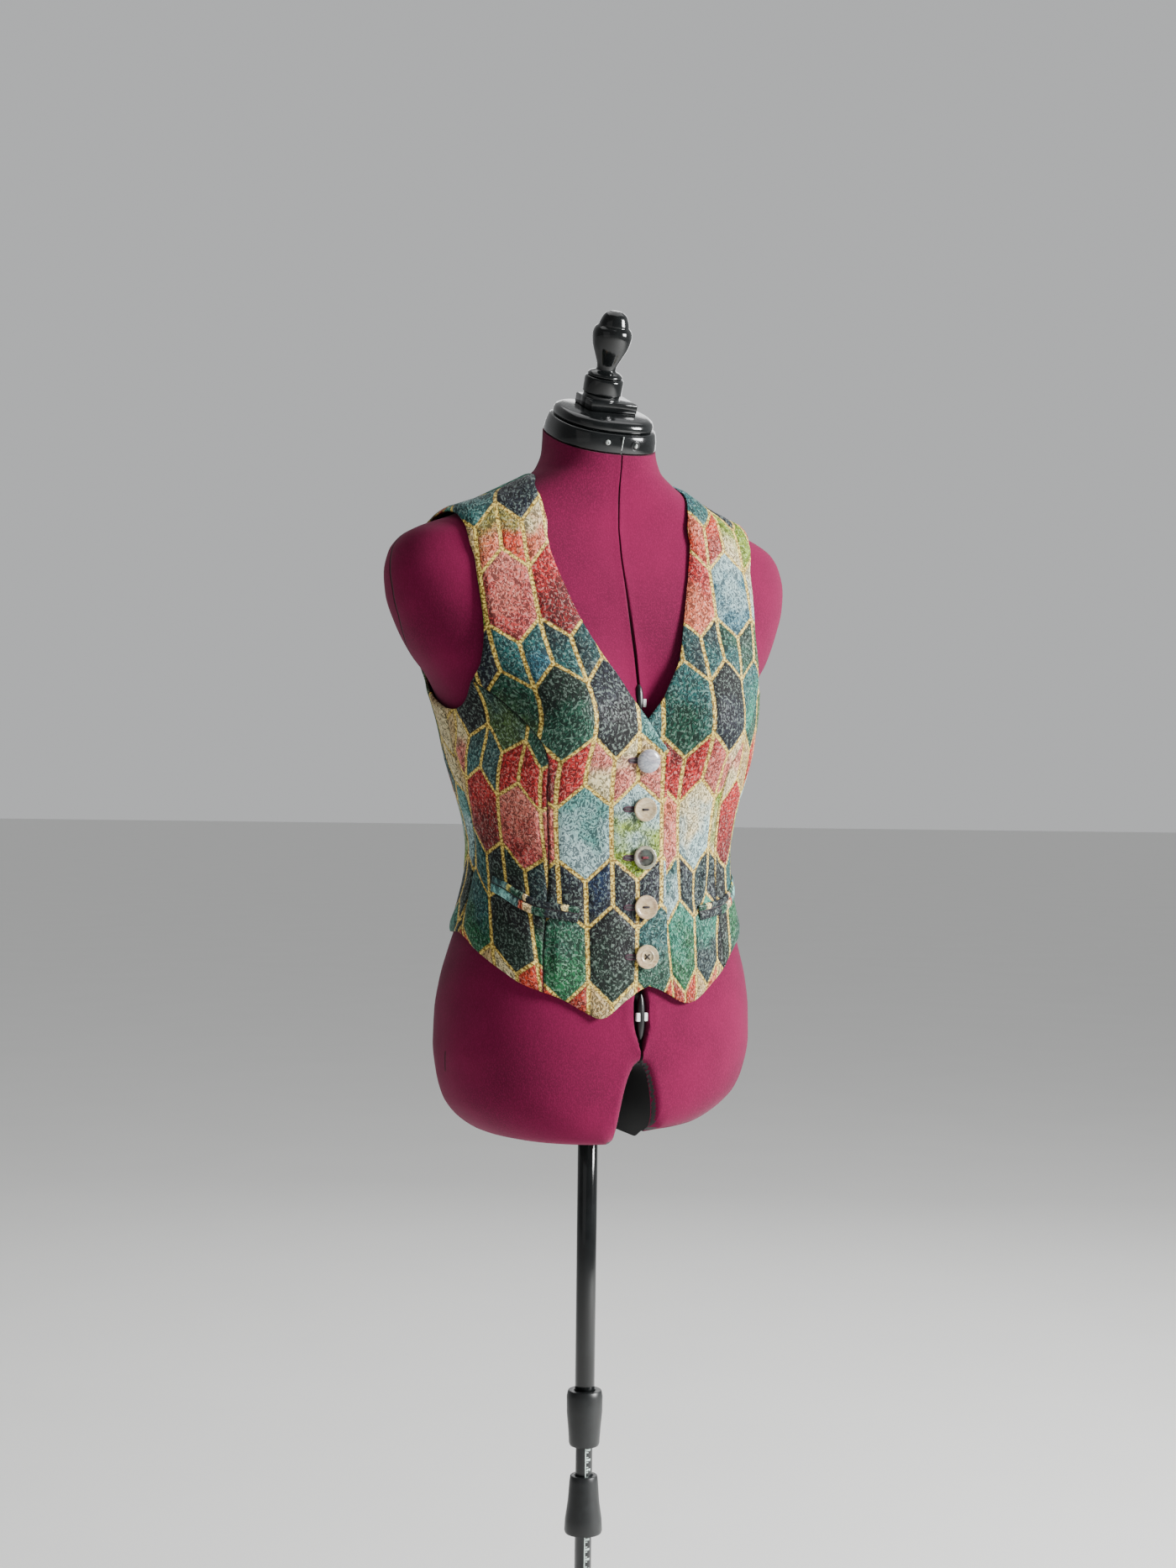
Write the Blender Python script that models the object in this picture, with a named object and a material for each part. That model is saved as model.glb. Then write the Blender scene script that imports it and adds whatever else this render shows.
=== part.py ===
"""Jacquard waistcoat worn on a limbless dress form with its pole stand.

Metres, Z up. The front faces -Y and the wearer's right is -X. The pole stands on Z.
Cloth panels and the form are computed from tables of body sizes, one row a level.
"""

import math

import bmesh
import bpy
import numpy as np
from mathutils import Matrix, Vector

# sizes of the form, from its lower cut to the neck
FORM_LEVELS = (
    # z, half_width, front, back, middle
    (0.746, 0.095, 0.094, 0.090, -0.010),
    (0.749, 0.108, 0.101, 0.096, -0.010),
    (0.756, 0.122, 0.1065, 0.101, -0.008),
    (0.768, 0.1375, 0.1105, 0.105, -0.004),
    (0.784, 0.150, 0.113, 0.106, 0.001),
    (0.810, 0.159, 0.115, 0.106, 0.005),
    (0.840, 0.1635, 0.117, 0.105, 0.008),
    (0.870, 0.163, 0.1155, 0.102, 0.009),
    (0.900, 0.159, 0.1125, 0.098, 0.011),
    (0.930, 0.151, 0.1095, 0.092, 0.012),
    (0.960, 0.1415, 0.106, 0.085, 0.014),
    (0.990, 0.133, 0.102, 0.0785, 0.016),
    (1.020, 0.1295, 0.0995, 0.075, 0.018),
    (1.050, 0.132, 0.101, 0.076, 0.018),
    (1.090, 0.1425, 0.1045, 0.084, 0.017),
    (1.120, 0.151, 0.104, 0.091, 0.016),
    (1.150, 0.158, 0.1025, 0.097, 0.015),
    (1.180, 0.166, 0.0985, 0.101, 0.010),
    (1.200, 0.175, 0.095, 0.102, 0.004),
    (1.220, 0.190, 0.0915, 0.102, -0.002),
    (1.250, 0.206, 0.083, 0.102, -0.008),
    (1.280, 0.2165, 0.0735, 0.100, -0.010),
    (1.300, 0.2185, 0.0665, 0.097, -0.010),
    (1.320, 0.2145, 0.0595, 0.092, -0.010),
    (1.335, 0.204, 0.056, 0.087, -0.008),
    (1.346, 0.185, 0.0535, 0.0825, -0.006),
    (1.356, 0.158, 0.0525, 0.078, -0.004),
    (1.370, 0.129, 0.0525, 0.072, -0.002),
    (1.385, 0.101, 0.0535, 0.067, 0.000),
    (1.398, 0.0785, 0.0555, 0.0625, 0.002),
    (1.410, 0.063, 0.0575, 0.0555, 0.004),
    (1.430, 0.056, 0.059, 0.049, 0.005),
    (1.480, 0.0545, 0.0585, 0.0465, 0.006),
)
# sizes of the cloth's inner face, a few millimetres clear of the form
CLOTH_LEVELS = (
    # z, half_width, front, back, middle
    (0.855, 0.168, 0.120, 0.107, 0.010),
    (0.900, 0.163, 0.1175, 0.102, 0.011),
    (0.930, 0.155, 0.1155, 0.096, 0.012),
    (0.950, 0.149, 0.114, 0.091, 0.013),
    (0.980, 0.140, 0.112, 0.085, 0.016),
    (1.010, 0.135, 0.110, 0.080, 0.018),
    (1.030, 0.1345, 0.1085, 0.079, 0.020),
    (1.060, 0.139, 0.108, 0.082, 0.021),
    (1.090, 0.148, 0.109, 0.0885, 0.021),
    (1.120, 0.157, 0.110, 0.096, 0.020),
    (1.150, 0.163, 0.1105, 0.102, 0.018),
    (1.170, 0.168, 0.1085, 0.105, 0.015),
    (1.190, 0.1745, 0.104, 0.106, 0.009),
    (1.220, 0.195, 0.0975, 0.106, 0.000),
    (1.250, 0.2105, 0.088, 0.106, -0.007),
    (1.280, 0.2205, 0.0775, 0.104, -0.010),
    (1.300, 0.2225, 0.070, 0.101, -0.010),
    (1.320, 0.220, 0.063, 0.0975, -0.010),
    (1.335, 0.210, 0.060, 0.093, -0.008),
    (1.346, 0.194, 0.058, 0.0885, -0.006),
    (1.360, 0.167, 0.056, 0.083, -0.004),
    (1.374, 0.129, 0.0555, 0.0745, -0.002),
    (1.389, 0.0982, 0.0565, 0.0685, 0.000),
    (1.402, 0.0740, 0.0585, 0.0617, 0.002),
    (1.414, 0.0610, 0.0605, 0.0555, 0.004),
)
ROUNDNESS = 2.3  # power of the body's cross sections
BUST_X = 0.078
BUST_Z = 1.158
BUST_ABOVE = 0.060
BUST_BELOW = 0.048
FORM_BUST_OUT = 0.033
FORM_BUST_SPREAD = 0.048
CLOTH_BUST_OUT = 0.032
CLOTH_BUST_SPREAD = 0.054

# cloth
CLOTH_THICK = 0.002
SEAM_INSET = 0.00017  # each side of a seam
FRONT_LAP = 0.0256  # front edges beyond the centre line
LAP_LIFT = 0.0028
LAP_LIFT_FROM = 0.056
LAP_LIFT_TO = 0.028

# turn is 0 at the centre front, 1 at the side and 2 at the centre back
NECKLINE = (
    # turn, z, from the side of the V to the shoulder
    (0.089, 1.202),
    (0.112, 1.220),
    (0.136, 1.250),
    (0.153, 1.275),
    (0.170, 1.297),
    (0.205, 1.332),
    (0.262, 1.357),
    (0.400, 1.374),
    (0.600, 1.388),
    (0.810, 1.3985),
    (1.000, 1.4035),
)
V_SIDE = (
    # x, z, of the neckline near the centre front, past the centre line at first
    (-0.0256, 1.127),
    (-0.012, 1.142),
    (0.000, 1.157),
    (0.019, 1.179),
)
ARMHOLE_FRONT = (
    # turn, z, from the princess seam to the shoulder
    (0.690, 1.193),
    (0.575, 1.211),
    (0.500, 1.235),
    (0.462, 1.260),
    (0.448, 1.290),
    (0.460, 1.318),
    (0.540, 1.341),
    (0.700, 1.355),
    (0.850, 1.360),
    (1.000, 1.3615),
)
ARMHOLE_UNDER = (
    # turn, z, from the princess seam to the side seam
    (0.690, 1.193),
    (0.800, 1.173),
    (0.900, 1.166),
    (1.000, 1.168),
)
SHOULDER_BLEND = 4  # how late the back's rows take up the slope of the shoulder
ARMHOLE_BACK = (
    # turn, z, from the side seam to the shoulder
    (1.000, 1.168),
    (1.080, 1.1745),
    (1.190, 1.185),
    (1.330, 1.203),
    (1.420, 1.232),
    (1.465, 1.268),
    (1.470, 1.302),
    (1.420, 1.332),
    (1.300, 1.352),
    (1.150, 1.360),
    (1.000, 1.3615),
)
PRINCESS = (
    # turn, z, from the hem up to the armhole; the hem's own height ends it
    (0.380, 0.905),
    (0.405, 0.940),
    (0.420, 0.975),
    (0.432, 1.010),
    (0.430, 1.045),
    (0.412, 1.085),
    (0.400, 1.112),
    (0.425, 1.130),
    (0.475, 1.146),
    (0.530, 1.161),
    (0.600, 1.178),
    (0.690, 1.193),
)
HEM = (
    # turn, right_z, left_z
    (-0.100, 0.911, 0.911),
    (-0.070, 0.909, 0.909),
    (-0.020, 0.903, 0.904),
    (0.055, 0.888, 0.896),
    (0.135, 0.871, 0.884),
    (0.200, 0.877, 0.885),
    (0.290, 0.889, 0.899),
    (0.380, 0.8965, 0.914),
    (0.480, 0.904, 0.928),
    (0.615, 0.918, 0.940),
    (0.795, 0.934, 0.947),
    (1.000, 0.949, 0.949),
    (1.250, 0.947, 0.947),
    (1.600, 0.940, 0.940),
    (2.000, 0.937, 0.937),
)
BACK_NECK = (
    # turn, z, from the shoulder to the centre back
    (1.000, 1.4035),
    (1.250, 1.4010),
    (1.600, 1.3970),
    (2.000, 1.3955),
)
FRONT_COLUMNS = 9
FRONT_LOW_ROWS = 14
FRONT_EDGE_ROWS = 11
FRONT_HIGH_ROWS = 12
SIDE_COLUMNS = 8
BACK_SHOULDER_COLUMNS = 5
BACK_NECK_COLUMNS = 14
BACK_HIGH_ROWS = 10

# lower pockets, a pair of lips each
POCKET_LINE = (
    # turn, z, from the side end to the front end
    (0.785, 0.999),
    (0.685, 0.993),
    (0.590, 0.985),
    (0.470, 0.977),
    (0.355, 0.9735),
    (0.265, 0.9705),
)
LIP_TALL = 0.0072
LIP_GAP = 0.0006
LIP_THICK = 0.0012
LIP_CLEAR = 0.0004
LIP_COLUMNS = 14

# buttons
BUTTON_Z = (1.119, 1.0715, 1.024, 0.9765, 0.929)
BUTTON_X = 0.001
BUTTON_RADIUS = 0.0116
BUTTON_STAND_OFF = 0.0042
BUTTON_TURN_DEG = -8.0
BUTTON_STEPS = 20
STEM_RADIUS = 0.0022

# form
FORM_STEPS = 48
NECK_TILT_DEG = 22.5
NECK_TOP_Z = 1.4435
NECK_BASE_Z = 1.402
NECK_RINGS = 3
ARCH_TOP_Z = 0.821
ARCH_HALF = 0.0200
ARCH_FLARE = 0.008
ARCH_ROUND = 0.150
ARCH_REACH = 0.15
ARCH_LOW_Z = 0.660
ARCH_STEPS = 16
SOCKET_RADIUS = 0.0104
SOCKET_TOP_Z = 0.970

# neck cap and finial, along the cap's leaning line
CAP_CLEAR = 0.0003
BAND_TALL = 0.019
LID_TALL = 0.011
CAP_STEPS = 32
FINIAL_BACK = 0.0125  # how far the finial stands behind the neck's middle
PEDESTAL_RADIUS = 0.0198
PEDESTAL_TALL = 0.031
FINIAL_PROFILE = (
    # radius, height
    (0.0170, 0.0000),
    (0.0176, 0.0020),
    (0.0150, 0.0045),
    (0.0104, 0.0065),
    (0.0098, 0.0090),
    (0.0106, 0.0130),
    (0.0140, 0.0210),
    (0.0178, 0.0300),
    (0.0196, 0.0380),
    (0.0198, 0.0430),
    (0.0186, 0.0475),
    (0.0160, 0.0500),
    (0.0142, 0.0512),
    (0.0146, 0.0530),
    (0.0136, 0.0575),
    (0.0108, 0.0625),
    (0.0060, 0.0655),
)
FINIAL_STEPS = 28

# stand
TUBE_STEPS = 24
POLE_RADIUS = 0.0100
POLE_BORE = 0.0090
POLE_LOW_Z = 0.446
POLE_HIGH_Z = 0.9695
ROD_RADIUS = 0.0085
ROD_LOW_Z = 0.120
ROD_HIGH_Z = 0.720
COLLAR_PROFILE = (
    # radius, z
    (0.0145, 0.428),
    (0.0155, 0.431),
    (0.0165, 0.446),
    (0.0180, 0.462),
    (0.0182, 0.478),
    (0.0168, 0.484),
)
CLAMP_PROFILE = (
    # radius, z
    (0.0184, 0.340),
    (0.0192, 0.343),
    (0.0186, 0.354),
    (0.0160, 0.372),
    (0.0145, 0.392),
    (0.0136, 0.398),
)
SLIDE_CLEAR = 0.0003
HUB_PROFILE = (
    # radius, z
    (0.0240, 0.092),
    (0.0260, 0.095),
    (0.0260, 0.148),
    (0.0215, 0.160),
    (0.0150, 0.166),
)
LEG_WIDE = 0.020
LEG_THICK = 0.009
LEG_LINE = (
    # radius, z, of the leg's middle line
    (0.0264, 0.122),
    (0.060, 0.119),
    (0.110, 0.098),
    (0.165, 0.058),
    (0.205, 0.0285),
    (0.232, 0.0170),
    (0.268, 0.0150),
)
LEG_SIDES = 4
FOOT_RADIUS = 0.0135
FOOT_TALL = 0.0100
FOOT_AT = 0.2520
FOOT_STEPS = 20

SHOWN_COLOURS = {
    # name: (red, green, blue, roughness, metallic)
    "jacquard": (0.155, 0.170, 0.130, 0.72, 0.0),
    "jacquard_edge": (0.060, 0.055, 0.045, 0.75, 0.0),
    "pearl": (0.720, 0.690, 0.640, 0.22, 0.0),
    "smoke_pearl": (0.240, 0.230, 0.225, 0.25, 0.0),
    "jersey": (0.300, 0.020, 0.085, 0.90, 0.0),
    "black_gloss": (0.012, 0.014, 0.015, 0.25, 0.0),
    "black_satin": (0.018, 0.019, 0.020, 0.45, 0.0),
    "rubber": (0.020, 0.020, 0.020, 0.85, 0.0),
    "steel_black": (0.022, 0.023, 0.025, 0.35, 0.9),
}


def levels(rows):
    """A smooth function of height through a table's rows, without overshoot."""
    table = np.array(rows, float)
    z = table[:, 0]
    v = table[:, 1:]
    step = np.diff(z)
    rise = np.diff(v, axis=0) / step[:, None]
    slope = np.zeros_like(v)
    slope[0] = rise[0]
    slope[-1] = rise[-1]
    for i in range(1, len(z) - 1):
        w1 = 2 * step[i] + step[i - 1]
        w2 = step[i] + 2 * step[i - 1]
        same = rise[i - 1] * rise[i] > 0
        low = np.where(same, rise[i - 1], 1.0)
        high = np.where(same, rise[i], 1.0)
        slope[i] = np.where(same, (w1 + w2) / (w1 / low + w2 / high), 0.0)

    def at(height):
        q = np.clip(np.asarray(height, float), z[0], z[-1])
        i = np.clip(np.searchsorted(z, q, side="right") - 1, 0, len(z) - 2)
        t = ((q - z[i]) / step[i])[..., None]
        width = step[i][..., None]
        return (
            v[i] * (1 + 2 * t) * (1 - t) ** 2
            + width * slope[i] * t * (1 - t) ** 2
            + v[i + 1] * t * t * (3 - 2 * t)
            + width * slope[i + 1] * t * t * (t - 1)
        )

    return at


FORM_AT = levels(FORM_LEVELS)
CLOTH_AT = levels(CLOTH_LEVELS)


def bust(x, z, out, spread):
    """How far the bust pushes the front out."""
    tall = np.where(z > BUST_Z, BUST_ABOVE, BUST_BELOW)
    across = np.exp(-(((x - BUST_X) / spread) ** 2))
    across = across + np.exp(-(((x + BUST_X) / spread) ** 2))
    return out * across * np.exp(-(((z - BUST_Z) / tall) ** 2))


def body(at, turn, z, out, spread):
    """Points of a body surface. Turn is 0 in front, +1 at the wearer's left side."""
    turn = np.asarray(turn, float)
    z = np.asarray(z, float) + 0 * turn
    size = at(z)
    half = size[..., 0]
    middle = size[..., 3]
    side = np.sin(turn * math.pi / 2)
    ahead = np.cos(turn * math.pi / 2)
    x = half * np.sign(side) * np.abs(side) ** (2 / ROUNDNESS)
    deep = np.where(ahead >= 0, size[..., 1] - middle, size[..., 2] + middle)
    y = -middle - deep * np.sign(ahead) * np.abs(ahead) ** (2 / ROUNDNESS)
    fade = 1 - (1 - np.clip(ahead, 0, 1)) ** 3
    y = y - bust(x, z, out, spread) * fade
    return np.stack([x, y, z], -1)


def form_point(turn, z):
    return body(FORM_AT, turn, z, FORM_BUST_OUT, FORM_BUST_SPREAD)


def cloth_face(turn, z):
    return body(CLOTH_AT, turn, z, CLOTH_BUST_OUT, CLOTH_BUST_SPREAD)


def cloth_out(turn, z):
    """The way out from the cloth's inner face."""
    small = 0.004
    along = cloth_face(turn + small, z) - cloth_face(turn - small, z)
    up = cloth_face(turn, z + small / 4) - cloth_face(turn, z - small / 4)
    out = np.cross(along, up)
    return out / np.linalg.norm(out, axis=-1, keepdims=True)


def cloth_point(turn, z, out):
    turn = np.asarray(turn, float)
    z = np.asarray(z, float) + 0 * turn
    return cloth_face(turn, z) + cloth_out(turn, z) * np.asarray(out)[..., None]


def lap_lift(x):
    """The right front lies over the left one near the centre line."""
    t = np.clip((x + LAP_LIFT_FROM) / (LAP_LIFT_FROM - LAP_LIFT_TO), 0, 1)
    return LAP_LIFT * t * t * (3 - 2 * t)


def turn_of(x, z):
    """The turn of a front point of the cloth at x."""
    x = np.asarray(x, float)
    half = CLOTH_AT(z)[..., 0]
    share = np.clip(np.abs(x) / half, 0, 1) ** (ROUNDNESS / 2)
    return np.sign(x) * np.arcsin(share) * 2 / math.pi


def smooth(points, per=12):
    """A rounded line through points."""
    p = np.array(points, float)
    p = np.vstack([2 * p[0] - p[1], p, 2 * p[-1] - p[-2]])
    t = np.arange(per)[:, None] / per
    parts = []
    for a, b, c, d in zip(p[:-3], p[1:-2], p[2:-1], p[3:]):
        parts.append(
            b
            + 0.5 * t * (c - a)
            + t * t * (a - 2.5 * b + 2 * c - 0.5 * d)
            + t**3 * (1.5 * (b - c) + 0.5 * (d - a))
        )
    return np.vstack(parts + [p[-2:-1]])


def spread(line, count):
    """A line of turn and height, cut into equal lengths of cloth."""
    line = np.asarray(line, float)
    place = cloth_face(line[:, 0], line[:, 1])
    far = np.linalg.norm(np.diff(place, axis=0), axis=1)
    run = np.concatenate([[0.0], np.cumsum(far)])
    want = np.linspace(0, run[-1], count + 1)
    return np.stack([np.interp(want, run, line[:, k]) for k in (0, 1)], -1)


def joined(*lines):
    """Lines end to end, without the doubled points."""
    return np.vstack([lines[0]] + [line[1:] for line in lines[1:]])


def hem_z(turn, right):
    """Height of the hem on one side."""
    rows = smooth([(row[0], row[1] if right else row[2]) for row in HEM], 8)
    return np.interp(turn, rows[:, 0], rows[:, 1])


def hem_line(start, end, right):
    turn = np.linspace(start, end, 60)
    return np.stack([turn, hem_z(turn, right)], -1)


def fill(low, high, left, right):
    """A grid of turn and height between four edges that meet at the corners."""
    u = np.linspace(0, 1, len(low))[:, None, None]
    v = np.linspace(0, 1, len(left))[None, :, None]
    ruled = (1 - v) * low[:, None] + v * high[:, None]
    ruled = ruled + (1 - u) * left[None] + u * right[None]
    ends = (1 - u) * (1 - v) * low[0] + u * (1 - v) * low[-1]
    ends = ends + (1 - u) * v * high[0] + u * v * high[-1]
    return ruled - ends


def front_lines(right):
    """The edges of a front's two panels, as turn and height."""
    princess = smooth(PRINCESS)
    bottom = np.array([[PRINCESS[0][0], hem_z(PRINCESS[0][0], right)]])
    princess = np.vstack([bottom, princess[princess[:, 1] > bottom[0, 1] + 0.004]])
    edge_x = -FRONT_LAP
    hem_turn = turn_of(edge_x, 0.909)
    height = np.linspace(hem_z(hem_turn, right), V_SIDE[0][1], 40)
    front_edge = np.stack([turn_of(edge_x, height), height], -1)
    v_rows = smooth(V_SIDE)
    v_side = np.stack([turn_of(v_rows[:, 0], v_rows[:, 1]), v_rows[:, 1]], -1)
    rest = smooth([v_side[-1]] + list(NECKLINE))
    return {
        "princess": princess,
        "front_edge": front_edge,
        "v_side": v_side,
        "neckline": rest,
        "hem_turn": float(hem_turn),
    }


def centre_front_grid(right):
    lines = front_lines(right)
    left = joined(
        spread(lines["front_edge"], FRONT_EDGE_ROWS),
        spread(lines["v_side"], FRONT_LOW_ROWS - FRONT_EDGE_ROWS),
        spread(lines["neckline"], FRONT_HIGH_ROWS),
    )
    outer = joined(
        spread(lines["princess"], FRONT_LOW_ROWS),
        spread(smooth(ARMHOLE_FRONT), FRONT_HIGH_ROWS),
    )
    hem = hem_line(lines["hem_turn"], PRINCESS[0][0], right)
    low = spread(hem, FRONT_COLUMNS)
    shoulder = np.array([NECKLINE[-1], ARMHOLE_FRONT[-1]])
    high = spread(smooth(shoulder), FRONT_COLUMNS)
    return fill(low, high, left, outer)


def side_front_grid(right):
    lines = front_lines(right)
    left = spread(lines["princess"], FRONT_LOW_ROWS)
    side = np.array([[1.0, hem_z(1.0, right)], ARMHOLE_UNDER[-1]])
    outer = spread(smooth(side, 40), FRONT_LOW_ROWS)
    low = spread(hem_line(PRINCESS[0][0], 1.0, right), SIDE_COLUMNS)
    high = spread(smooth(ARMHOLE_UNDER), SIDE_COLUMNS)
    return fill(low, high, left, outer)


def back_grid():
    """The whole back, from the wearer's left side seam round to the right one."""

    def mirrored(line):
        line = np.array(line, float)
        return np.stack([4 - line[:, 0], line[:, 1]], -1)[::-1]

    side = np.array([[1.0, hem_z(1.0, False)], ARMHOLE_BACK[0]])
    left = joined(
        spread(smooth(side, 40), FRONT_LOW_ROWS),
        spread(smooth(ARMHOLE_BACK), BACK_HIGH_ROWS),
    )
    shoulder = spread(
        smooth([ARMHOLE_BACK[-1], NECKLINE[-1]]), BACK_SHOULDER_COLUMNS
    )
    neck = smooth(BACK_NECK)
    neck = spread(joined(neck, mirrored(neck)), BACK_NECK_COLUMNS)
    high = joined(shoulder, neck, mirrored(shoulder))
    hem = hem_line(1.0, 2.0, False)
    low = spread(joined(hem, mirrored(hem)), len(high) - 1)
    up = np.linspace(0, 1, len(left))[None]
    turn = low[:, :1] * (1 - up) + high[:, :1] * up
    half = np.minimum(turn, 4 - turn) - 1
    edge = left[None, :, 0]
    near = edge + (2 - edge) * half
    turn = np.where(turn <= 2, near, 4 - near)
    z = left[None, :, 1] + (low[:, 1:] - low[0, 1]) * (1 - up)
    z = z + (high[:, 1:] - high[0, 1]) * up**SHOULDER_BLEND
    return np.stack([turn, z], -1)


def inset(points, gap):
    """Draws the rim of a grid of points in by a gap, along the rows that meet it."""
    p = points.copy()
    for here, there in ((0, 1), (-1, -2)):
        way = points[there] - points[here]
        p[here] += gap * way / np.linalg.norm(way, axis=-1, keepdims=True)
    for here, there in ((0, 1), (-1, -2)):
        way = p[:, there] - p[:, here]
        p[:, here] += gap * way / np.linalg.norm(way, axis=-1, keepdims=True)
    return p


def material(name, key):
    red, green, blue, rough, metal = SHOWN_COLOURS[key]
    m = bpy.data.materials.new(name)
    m.use_nodes = True
    shader = m.node_tree.nodes["Principled BSDF"]
    shader.inputs["Base Color"].default_value = (red, green, blue, 1.0)
    shader.inputs["Roughness"].default_value = rough
    shader.inputs["Metallic"].default_value = metal
    m.diffuse_color = (red, green, blue, 1.0)
    return m


def add(name, bm, key, origin=(0.0, 0.0, 0.0), parent=None):
    """Makes an object of a mesh given in world places, with its own origin."""
    bmesh.ops.recalc_face_normals(bm, faces=bm.faces)
    bmesh.ops.translate(bm, verts=bm.verts, vec=-Vector(origin))
    mesh = bpy.data.meshes.new(name)
    bm.to_mesh(mesh)
    bm.free()
    mesh.materials.append(material(name, key))
    obj = bpy.data.objects.new(name, mesh)
    bpy.context.scene.collection.objects.link(obj)
    obj.location = origin
    if parent is not None:
        obj.parent = parent
        obj.location = Vector(origin) - parent.matrix_world.translation
    bpy.context.view_layer.update()
    return obj


def slab(inner, outer):
    """A closed solid between two grids of points."""
    bm = bmesh.new()
    columns, rows = inner.shape[:2]
    lower = [[bm.verts.new(inner[i, j]) for j in range(rows)] for i in range(columns)]
    upper = [[bm.verts.new(outer[i, j]) for j in range(rows)] for i in range(columns)]
    for i in range(columns - 1):
        for j in range(rows - 1):
            for grid in (lower, upper):
                corners = (grid[i][j], grid[i + 1][j], grid[i + 1][j + 1], grid[i][j + 1])
                bm.faces.new(corners)
    for i in range(columns - 1):
        for j in (0, rows - 1):
            bm.faces.new((lower[i][j], lower[i + 1][j], upper[i + 1][j], upper[i][j]))
    for j in range(rows - 1):
        for i in (0, columns - 1):
            bm.faces.new((lower[i][j], lower[i][j + 1], upper[i][j + 1], upper[i][j]))
    bmesh.ops.triangulate(bm, faces=bm.faces, quad_method="SHORT_EDGE")
    return bm


def mirror_points(points):
    return points * np.array([-1.0, 1.0, 1.0])


def panel(name, grid, lapped=False, right=False):
    """A cut piece of cloth from its grid of turn and height."""
    turn = grid[..., 0]
    z = grid[..., 1]
    lift = 0 * turn
    if lapped:
        lift = lap_lift(-cloth_face(turn, z)[..., 0])
    inner = cloth_point(turn, z, lift)
    outer = cloth_point(turn, z, lift + CLOTH_THICK)
    inner = inset(inner, SEAM_INSET)
    outer = inset(outer, SEAM_INSET)
    if right:
        inner = mirror_points(inner)
        outer = mirror_points(outer)
    return add(name, slab(inner, outer), "jacquard", parent=FORM_PARENT[0])


FORM_PARENT = [None]


def pocket_lip(name, upper, right):
    """One lip of a lower pocket, laid on the panels."""
    line = spread(smooth(POCKET_LINE), LIP_COLUMNS)
    low = LIP_GAP / 2 if upper else -LIP_GAP / 2 - LIP_TALL
    rows = low + np.array([0.0, 0.5, 1.0]) * LIP_TALL
    turn = np.repeat(line[:, :1], 3, axis=1)
    z = line[:, 1:] + rows[None]
    base = CLOTH_THICK + LIP_CLEAR
    inner = cloth_point(turn, z, base + 0 * z)
    puff = LIP_THICK * np.array([0.75, 1.15, 0.75])[None] + 0 * z
    outer = cloth_point(turn, z, base + puff)
    if right:
        inner = mirror_points(inner)
        outer = mirror_points(outer)
    add(name, slab(inner, outer), "jacquard_edge", parent=FORM_PARENT[0])


def lathe(profile, steps, frame=None, bore=None):
    """A turned solid about Z from rows of radius and height, with a bore if given."""
    bm = bmesh.new()
    rings = []
    for radius, z in profile:
        ring = []
        for k in range(steps):
            angle = 2 * math.pi * k / steps
            place = (radius * math.cos(angle), radius * math.sin(angle), z)
            ring.append(bm.verts.new(place))
        rings.append(ring)
    if bore is not None:
        for z in (profile[-1][1], profile[0][1]):
            ring = []
            for k in range(steps):
                angle = 2 * math.pi * k / steps
                ring.append(bm.verts.new((bore * math.cos(angle), bore * math.sin(angle), z)))
            rings.append(ring)
        rings.append(rings[0])
    for a, b in zip(rings[:-1], rings[1:]):
        for k in range(steps):
            n = (k + 1) % steps
            bm.faces.new((a[k], a[n], b[n], b[k]))
    if bore is None:
        bm.faces.new(rings[0][::-1])
        bm.faces.new(rings[-1])
    bm.verts.ensure_lookup_table()
    if frame is not None:
        bmesh.ops.transform(bm, matrix=frame, verts=bm.verts)
    return bm


def leaning(origin, degrees):
    """A frame whose Z leans forward from origin."""
    return Matrix.Translation(origin) @ Matrix.Rotation(math.radians(degrees), 4, "X")


def cut(obj, cutter_mesh):
    """Takes a cutter out of an object with an exact Boolean."""
    mesh = bpy.data.meshes.new("cutter")
    bmesh.ops.recalc_face_normals(cutter_mesh, faces=cutter_mesh.faces)
    cutter_mesh.to_mesh(mesh)
    cutter_mesh.free()
    tool = bpy.data.objects.new("cutter", mesh)
    bpy.context.scene.collection.objects.link(tool)
    mod = obj.modifiers.new("cut", "BOOLEAN")
    mod.operation = "DIFFERENCE"
    mod.solver = "EXACT"
    mod.object = tool
    bpy.context.view_layer.update()
    depsgraph = bpy.context.evaluated_depsgraph_get()
    done = bpy.data.meshes.new_from_object(obj.evaluated_get(depsgraph))
    obj.modifiers.clear()
    old = obj.data
    obj.data = done
    bpy.data.meshes.remove(old)
    bpy.data.objects.remove(tool)
    bpy.data.meshes.remove(mesh)


def neck_top(turn):
    """Height of the leaning cut at the top of the neck."""
    slope = math.tan(math.radians(NECK_TILT_DEG))
    z = np.full_like(turn, NECK_TOP_Z)
    for _ in range(4):
        z = NECK_TOP_Z + slope * form_point(turn, z)[..., 1]
    return z


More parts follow.
